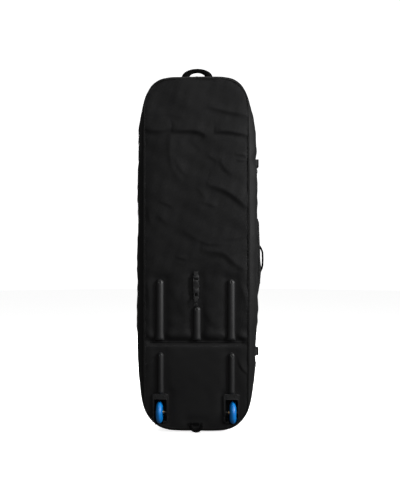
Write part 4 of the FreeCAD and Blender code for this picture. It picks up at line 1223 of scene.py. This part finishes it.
def make_buckles():
    """The buckle on the back and the two clips of the lid's straps."""
    low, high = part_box("back_buckle_female")
    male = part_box("back_buckle_male")
    seat = high[1]
    mouth = (0.0, seat, low[2])
    axes = ((1, 0, 0), (0, -1, 0), (0, 0, 1))
    width, thick = 0.88 * (high[0] - low[0]), high[1] - low[1]
    make("buckle_socket_back", placed(buckle_socket(width, high[2] - low[2], thick), mouth, *axes),
         BUCKLE_ACETAL_AND_EDGE_HIGHLIGHT, "bag", ["back_buckle_female"], sharp=50)
    plug = buckle_plug(width, low[2] - male[0][2], thick, male[1][2] - low[2] - 0.001)
    make("buckle_plug_back", placed(plug, mouth, *axes), BUCKLE_ACETAL_AND_EDGE_HIGHLIGHT, "back_buckle",
         ["back_buckle_male"], sharp=50)
    for name in ("upper", "lower"):
        low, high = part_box("strap_clip_female_" + name)
        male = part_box("strap_clip_male_" + name)
        mouth = (low[0], high[1], (low[2] + high[2]) / 2)
        axes = ((0, 0, 1), (1, 0, 0), (0, -1, 0))
        width, thick = high[2] - low[2], high[0] - low[0]
        make("clip_socket_" + name, placed(buckle_socket(width, high[1] - low[1], thick), mouth, *axes),
             CLIP_ACETAL, "bag", ["strap_clip_female_" + name], sharp=50)
        plug = buckle_plug(width, male[1][1] - high[1], thick, high[1] - male[0][1] - 0.001)
        make("clip_plug_" + name, placed(plug, mouth, *axes), CLIP_ACETAL, "lid",
             ["strap_clip_male_" + name], sharp=50)


# ------------------------------------------------------------------ handles and webbing

def make_top_handle():
    """The carry handle: a padded arch between two half ellipses, each round section a
    superellipse, over two sewn webbing feet."""
    low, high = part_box("top_handle_grip")
    foot = low[2] + 0.0035
    turn = np.radians(np.concatenate([[-2.5, -1.0], np.linspace(1.0, 179.0, 70), [181.0, 182.5]]))[:, None]
    outer_x, outer_z = high[0] * np.cos(turn), (high[2] + 0.0012 - foot) * np.sin(turn)
    inner_x, inner_z = 0.0335 * np.cos(turn), 0.0195 * np.sin(turn)
    profile = rounded(2.0, 2.0, 2.6, 28)
    wide = high[1] * (1.0 - 0.12 * np.sin(turn) ** 2)
    t = (profile[None, :, 0] + 1.0) / 2.0
    x = inner_x + (outer_x - inner_x) * t
    z = foot + inner_z + (outer_z - inner_z) * t
    pinch = 1.0 + 0.01 * np.sin(40.0 * turn)
    rings = np.stack([x, wide * pinch * profile[None, :, 1], np.maximum(z, low[2])], axis=-1)
    along = np.broadcast_to(turn * 0.05, x.shape)
    around = np.broadcast_to(np.arange(28)[None, :] * 0.003, x.shape)
    shape = tube(rings, np.stack([along, around], axis=-1).reshape(-1, 2))
    obj = make("handle_grip_top", shape, GRIP_CLOTH, "top_handle", ["top_handle_grip"])
    parts, lines = [], []
    for side in (-1.0, 1.0):
        path = through([(side * 0.094, 0.0, CROWN_Z - 0.0022), (side * 0.075, 0.0, CROWN_Z),
                        (side * 0.056, 0.0, CROWN_Z + 0.0012), (side * 0.036, 0.0, CROWN_Z + 0.0010)], 24)
        parts.append(carried(path, (0.0, 1.0, 0.0), rounded(0.030, 0.0018, 6.0, 16)))
        lines += box_stitch((side * 0.079, 0.0, CROWN_Z + 0.0013), 0.010, 0.0115, (1, 0, 0.0), (0, 1, 0))
    make("handle_feet_top", joined(*parts), GRIP_CLOTH, "bag", ["top_handle_anchors"], sharp=60)
    stitches("handle_feet_stitches", lines, (0, 0, 1), "bag")


def make_side_handle():
    """The grab loop on the right side, and the padded webbing under it: its outer face
    follows a line, and it is as thick as the gap down to the bag's side."""
    low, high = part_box("side_handle_loop")
    middle = high[0] - 0.0008
    path = through([(middle - 0.0125, 0.0, high[2] + 0.003), (middle - 0.0075, 0.0, high[2] - 0.006),
                    (middle - 0.0012, 0.0, 0.733), (middle, 0.0, 0.716), (middle, 0.0, 0.690),
                    (middle - 0.0012, 0.0, 0.673), (middle - 0.006, 0.0, low[2] + 0.006),
                    (middle - 0.0105, 0.0, low[2] - 0.003)], 80)
    obj = make("handle_loop_side", carried(path, (0.0, 1.0, 0.0), rounded(0.025, 0.0076, 3.0, 24)),
               GRIP_CLOTH, "side_handle", ["side_handle_loop"])
    line = through([(0.872, 0.2545), (0.850, 0.2590), (0.804, 0.2605), (0.770, 0.2625), (0.735, 0.2642),
                    (0.705, 0.2645), (0.685, 0.2662), (0.665, 0.2690), (0.640, 0.2668), (0.600, 0.2625),
                    (0.575, 0.2585), (0.548, 0.2530)], 120)
    z, outer = line[:, 0], line[:, 1]
    inner = side_reach(z) - 0.002
    flat = rounded(0.026, 1.0, 5.0, 24)
    profile = np.stack([np.broadcast_to(flat[:, 0], (120, 24)),
                        flat[None, :, 1] * (outer - inner)[:, None]], axis=-1)
    path = np.stack([(outer + inner) / 2, np.zeros_like(z), z], axis=1)
    obj = make("side_webbing", carried(path, (0.0, 1.0, 0.0), profile), STRAP_WEB, "bag",
               ["side_handle_webbing"], sharp=60)
    lines = []
    for at in (0.848, 0.800, 0.612):
        out = float(np.interp(at, z[::-1], outer[::-1])) + 0.0001
        lines += box_stitch((out, 0.0, at), 0.012, 0.0095, (0, 0, 1), (0, 1, 0))
    stitches("side_webbing_stitches", lines, (1, 0, 0), "bag")


def make_base_handle():
    """The small pull under the base: a flat webbing loop whose outer edge is half an ellipse,
    and the tab that holds it."""
    low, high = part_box("base_handle_loop")
    turn = np.linspace(math.pi, 2.0 * math.pi, 60)[:, None]
    outer = np.array([high[0] - 0.002, high[2] - low[2]])
    profile = rounded(2.0, 2.0, 4.0, 16)
    t = (profile[None, :, 0] + 1.0) / 2.0
    x = (outer[0] - 0.0125 * (1.0 - t)) * np.cos(turn)
    z = high[2] - 0.0005 + (outer[1] - 0.0125 * (1.0 - t)) * np.sin(turn)
    y = (low[1] + high[1]) / 2 + 0.0017 * profile[None, :, 1] + 0 * turn
    rings = np.stack([x, y, z], axis=-1)
    uv = np.stack([np.broadcast_to(turn * 0.025, x.shape), np.broadcast_to(t * 0.0125, x.shape)], axis=-1)
    make("handle_loop_base", tube(rings, uv.reshape(-1, 2)), GRIP_CLOTH, "base_handle",
         ["base_handle_loop"])
    low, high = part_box("base_handle_anchors")
    y = low[1] - 0.0016
    path = np.stack([np.linspace(low[0], high[0], 20) * 0.9, np.full(20, y), np.full(20, 0.0405)], axis=1)
    strap("base_handle_tab", path, (0.0, 0.0, 1.0), 0.011, 0.0018, "bag", ["base_handle_anchors"],
          material=GRIP_CLOTH)
    lines = []
    for side in (-1, 1):
        lines += box_stitch((side * 0.021, y - 0.0010, 0.0405), 0.006, 0.0038, (1, 0, 0), (0, 0, 1))
    stitches("base_handle_stitches", lines, (0, -1, 0), "bag")


def make_back_webbing():
    """The strap of the back buckle: sewn down above it, round its bar, and a short loose tail
    below the plug."""
    face = BACK_Y - 0.006
    top = through([(0.0, face + 0.0035, 0.655), (0.0, face + 0.0005, 0.650), (0.0, face - 0.0012, 0.643),
                   (0.0, face - 0.0045, 0.636), (0.0, face - 0.0050, 0.629), (0.0, face - 0.0020, 0.622)], 40)
    strap("back_strap", top, (1.0, 0.0, 0.0), 0.018, 0.0016, "bag", ["back_buckle_webbing"])
    row = [((-0.007, face - 0.0012, 0.647), (0.007, face - 0.0012, 0.647))]
    stitches("back_strap_stitches", row, (0, -1, 0), "bag")
    tail = through([(0.0, face - 0.0030, 0.552), (0.0, face - 0.0105, 0.5465), (0.0, face - 0.0128, 0.537),
                    (0.0, face - 0.0110, 0.528), (0.0, face - 0.0120, 0.518)], 40)
    strap("back_strap_tail", tail, (1.0, 0.0, 0.0), 0.016, 0.0016, "back_buckle")


def make_clip_tabs():
    """Sewn straps that hold the two clip sockets to the bag's right side."""
    parts, lines = [], []
    for name in ("upper", "lower"):
        low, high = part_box("strap_clip_female_" + name)
        z = (low[2] + high[2]) / 2
        y = np.linspace(-0.045, low[1] + 0.006, 30)
        out = side_reach(np.full(30, z)) + 0.0009
        out = out + (low[0] + 0.0062 - out) * smooth_step(y, -0.012, low[1])
        path = np.stack([out, y, np.full(30, z)], axis=1)
        parts.append(carried(path, (0.0, 0.0, 1.0), rounded(0.025, 0.0017, 6.0, 16)))
        lines += box_stitch((out[4] + 0.0012, -0.030, z), 0.010, 0.009, (0, 1, 0), (0, 0, 1))
    make("clip_tabs", joined(*parts), STRAP_WEB, "bag", ["strap_clip_tabs"], sharp=60)
    stitches("clip_tab_stitches", lines, (1, 0, 0), "bag")


# ------------------------------------------------------------------ inside

def quilted(node, way):
    """A padded lining panel: a rounded edge and a field of diamonds between sewn lines."""
    low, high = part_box(node)
    x, z = np.meshgrid(np.linspace(low[0], high[0], 90), np.linspace(low[2], high[2], 150))
    edge = np.minimum(np.minimum(x - low[0], high[0] - x), np.minimum(z - low[2], high[2] - z))
    rising, falling = math.pi * (x + z) / QUILT_PITCH, math.pi * (x - z) / QUILT_PITCH
    diamond = np.abs(np.sin(rising) * np.sin(falling)) ** 0.35
    rise = (1.0 - np.exp(-edge / 0.004)) * (0.35 + 0.65 * diamond)
    thick = high[1] - low[1]
    back = low[1] if way > 0 else high[1]
    front = np.stack([x, back + way * (0.0006 + thick * 1.15 * rise), z], axis=-1)
    behind = np.stack([x, np.full_like(x, back), z], axis=-1)
    return slab(front, behind)


def make_inside():
    """Quilted padding on both faces and the two straps that hold the board."""
    for node, way, body in (("back_padding", 1.0, "bag"), ("lid_padding", -1.0, "lid")):
        obj = make("quilt_" + node, quilted(node, way), LINING_CLOTH, body, [node])
    for name in ("upper", "lower"):
        low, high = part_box("board_strap_" + name)
        z, y = (low[2] + high[2]) / 2, high[1]
        t = np.linspace(-1.0, 1.0, 60)
        path = np.stack([t * high[0], y - 0.0006 + 0.006 * (1.0 - t ** 2) * (1.0 + 0.2 * np.sin(9 * t)),
                         z + 0.002 * np.sin(5 * t)], axis=1)
        strap("board_web_" + name, path, (0.0, 0.0, 1.0), 0.037, 0.0017, "bag", ["board_strap_" + name])
        centre = (0.02, float(path[34, 1]), z)
        pads = block((centre[0] - 0.03, centre[1] + 0.0002, z - 0.0185),
                     (centre[0] + 0.03, centre[1] + 0.0028, z + 0.0185), 0.0009)
        make("board_web_pad_" + name, pads, TAPE_CLOTH, "bag")


def seam_line(y, body, name, lift, low, high):
    """A row of stitches beside a panel's seam, on both sides."""
    half = to_seam(half_outline(900))
    half = half[(half[:, 1] > low) & (half[:, 1] < high) & (half[:, 0] > 0.1)]
    sign = math.copysign(1.0, y)
    lines = []
    for side in (-1.0, 1.0):
        x, z = side * (half[:, 0] - SEAM_STITCH_INSET), half[:, 1]
        lines.append(np.stack([x, y + sign * (lift(x, z) + 0.0001), z], axis=1))
    stitches(name, lines, (0.0, sign, 0.0), body)


def make_topstitching():
    """Stitch rows beside the panel seams and above the cross seam of the back."""
    seam_line(BACK_Y, "bag", "stitches_back_upper", upper_lift, CREASE_Z + 0.02, 1.41)
    seam_line(BACK_Y, "bag", "stitches_back_base", base_lift, 0.05, CREASE_Z - 0.01)
    seam_line(LID_Y, "lid", "stitches_lid", lid_lift, 0.05, 1.41)
    lines = []
    for height in (0.3555, 0.3515):
        for start, end in ((-0.205, -0.162), (-0.125, 0.125), (0.162, 0.205)):
            x = np.linspace(start, end, 60)
            z = np.full_like(x, height)
            lines.append(np.stack([x, BACK_Y - base_lift(x, z) - 0.0001, z], axis=1))
    stitches("stitches_cross_seam", lines, (0, -1, 0), "bag")


def main():
    """Everything on the bag."""
    make_back_panels()
    make_gussets()
    make_lid()
    make_piping()
    make_zip()
    make_hinge()
    make_lid_straps()
    make_rails()
    make_wheels()
    make_axles()
    make_buckles()
    make_top_handle()
    make_side_handle()
    make_base_handle()
    make_back_webbing()
    make_clip_tabs()
    make_inside()
    make_topstitching()


def dress_nodes():
    """Materials for the hard pieces that are kept from the design."""
    plain = {"wheel_housing": HOUSING_NYLON, "wheel_core": CORE_NYLON, "wheel_bearings": STEEL,
             "rail_screws": BLACK_OXIDE, "housing_screws": BLACK_OXIDE,
             "zip_slider": GUNMETAL, "zip_pull": GUNMETAL, "stiffener_board": BOARD_SHEET}
    for name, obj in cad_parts.items():
        for start, material in plain.items():
            if name.startswith(start) and obj.type == "MESH":
                obj.data.materials.clear()
                obj.data.materials.append(material)


# ------------------------------------------------------------------ studio

def make_studio():
    """A pale floor under a pale dome that only the camera sees, soft lights and a dim white world."""
    floor_paint = studio_paint("floor_paint", (0.9, 0.9, 0.9), 0.85)
    dome_paint = studio_paint("dome_paint", (0.9, 0.9, 0.9), 1.0)
    bpy.ops.mesh.primitive_plane_add(size=24.0)
    floor = bpy.context.object
    floor.name = "floor"
    floor.data.materials.append(floor_paint)
    bpy.ops.mesh.primitive_uv_sphere_add(segments=48, ring_count=24, radius=11.0)
    dome = bpy.context.object
    dome.name = "dome"
    dome.data.materials.append(dome_paint)
    for flag in ("visible_diffuse", "visible_glossy", "visible_transmission", "visible_shadow"):
        setattr(dome, flag, False)
    floor.visible_diffuse = floor.visible_glossy = False
    for name, place, target, size, power in (
            ("key", (2.6, -1.3, 1.6), (0.0, -0.1, 0.75), 1.2, 112.0),
            ("front", (0.6, -3.2, 2.2), (0.0, 0.0, 0.75), 1.6, 32.0),
            ("top", (0.3, -0.5, 3.2), (0.0, 0.0, 0.7), 1.4, 18.0),
            ("rear", (-0.7, 3.4, 1.7), (0.0, 0.0, 0.75), 1.6, 200.0)):
        light = bpy.data.lights.new(name, "AREA")
        light.shape = "DISK"
        light.size = size
        light.energy = power
        obj = bpy.data.objects.new(name, light)
        obj.location = place
        aim = Vector(target) - Vector(place)
        obj.rotation_euler = aim.to_track_quat("-Z", "Y").to_euler()
        bpy.context.scene.collection.objects.link(obj)
    world = bpy.data.worlds.new("studio")
    world.use_nodes = True
    world.node_tree.nodes["Background"].inputs[0].default_value = (1.0, 1.0, 1.0, 1.0)
    world.node_tree.nodes["Background"].inputs[1].default_value = 0.12
    bpy.context.scene.world = world


def make_camera():
    """A level camera near the middle of the bag's height, in front of the wheel side and a
    little to the right, turned so that the bag stands left of the middle of the view."""
    distance = 3.0
    metres_per_line = 0.0042
    orbit = math.radians(2.0)
    aside = math.atan(0.012 / distance)
    data = bpy.data.cameras.new("camera")
    data.sensor_width = 36.0
    data.lens = data.sensor_width * distance / (501 * metres_per_line)
    camera = bpy.data.objects.new("camera", data)
    camera.location = (distance * math.sin(orbit), -distance * math.cos(orbit), 0.739)
    camera.rotation_euler = (math.pi / 2, 0.0, orbit - aside)
    bpy.context.scene.collection.objects.link(camera)
    bpy.context.scene.camera = camera
    bpy.context.scene.view_settings.view_transform = "Standard"


make_camera()
make_studio()
main()
dress_nodes()
bpy.context.view_layer.update()
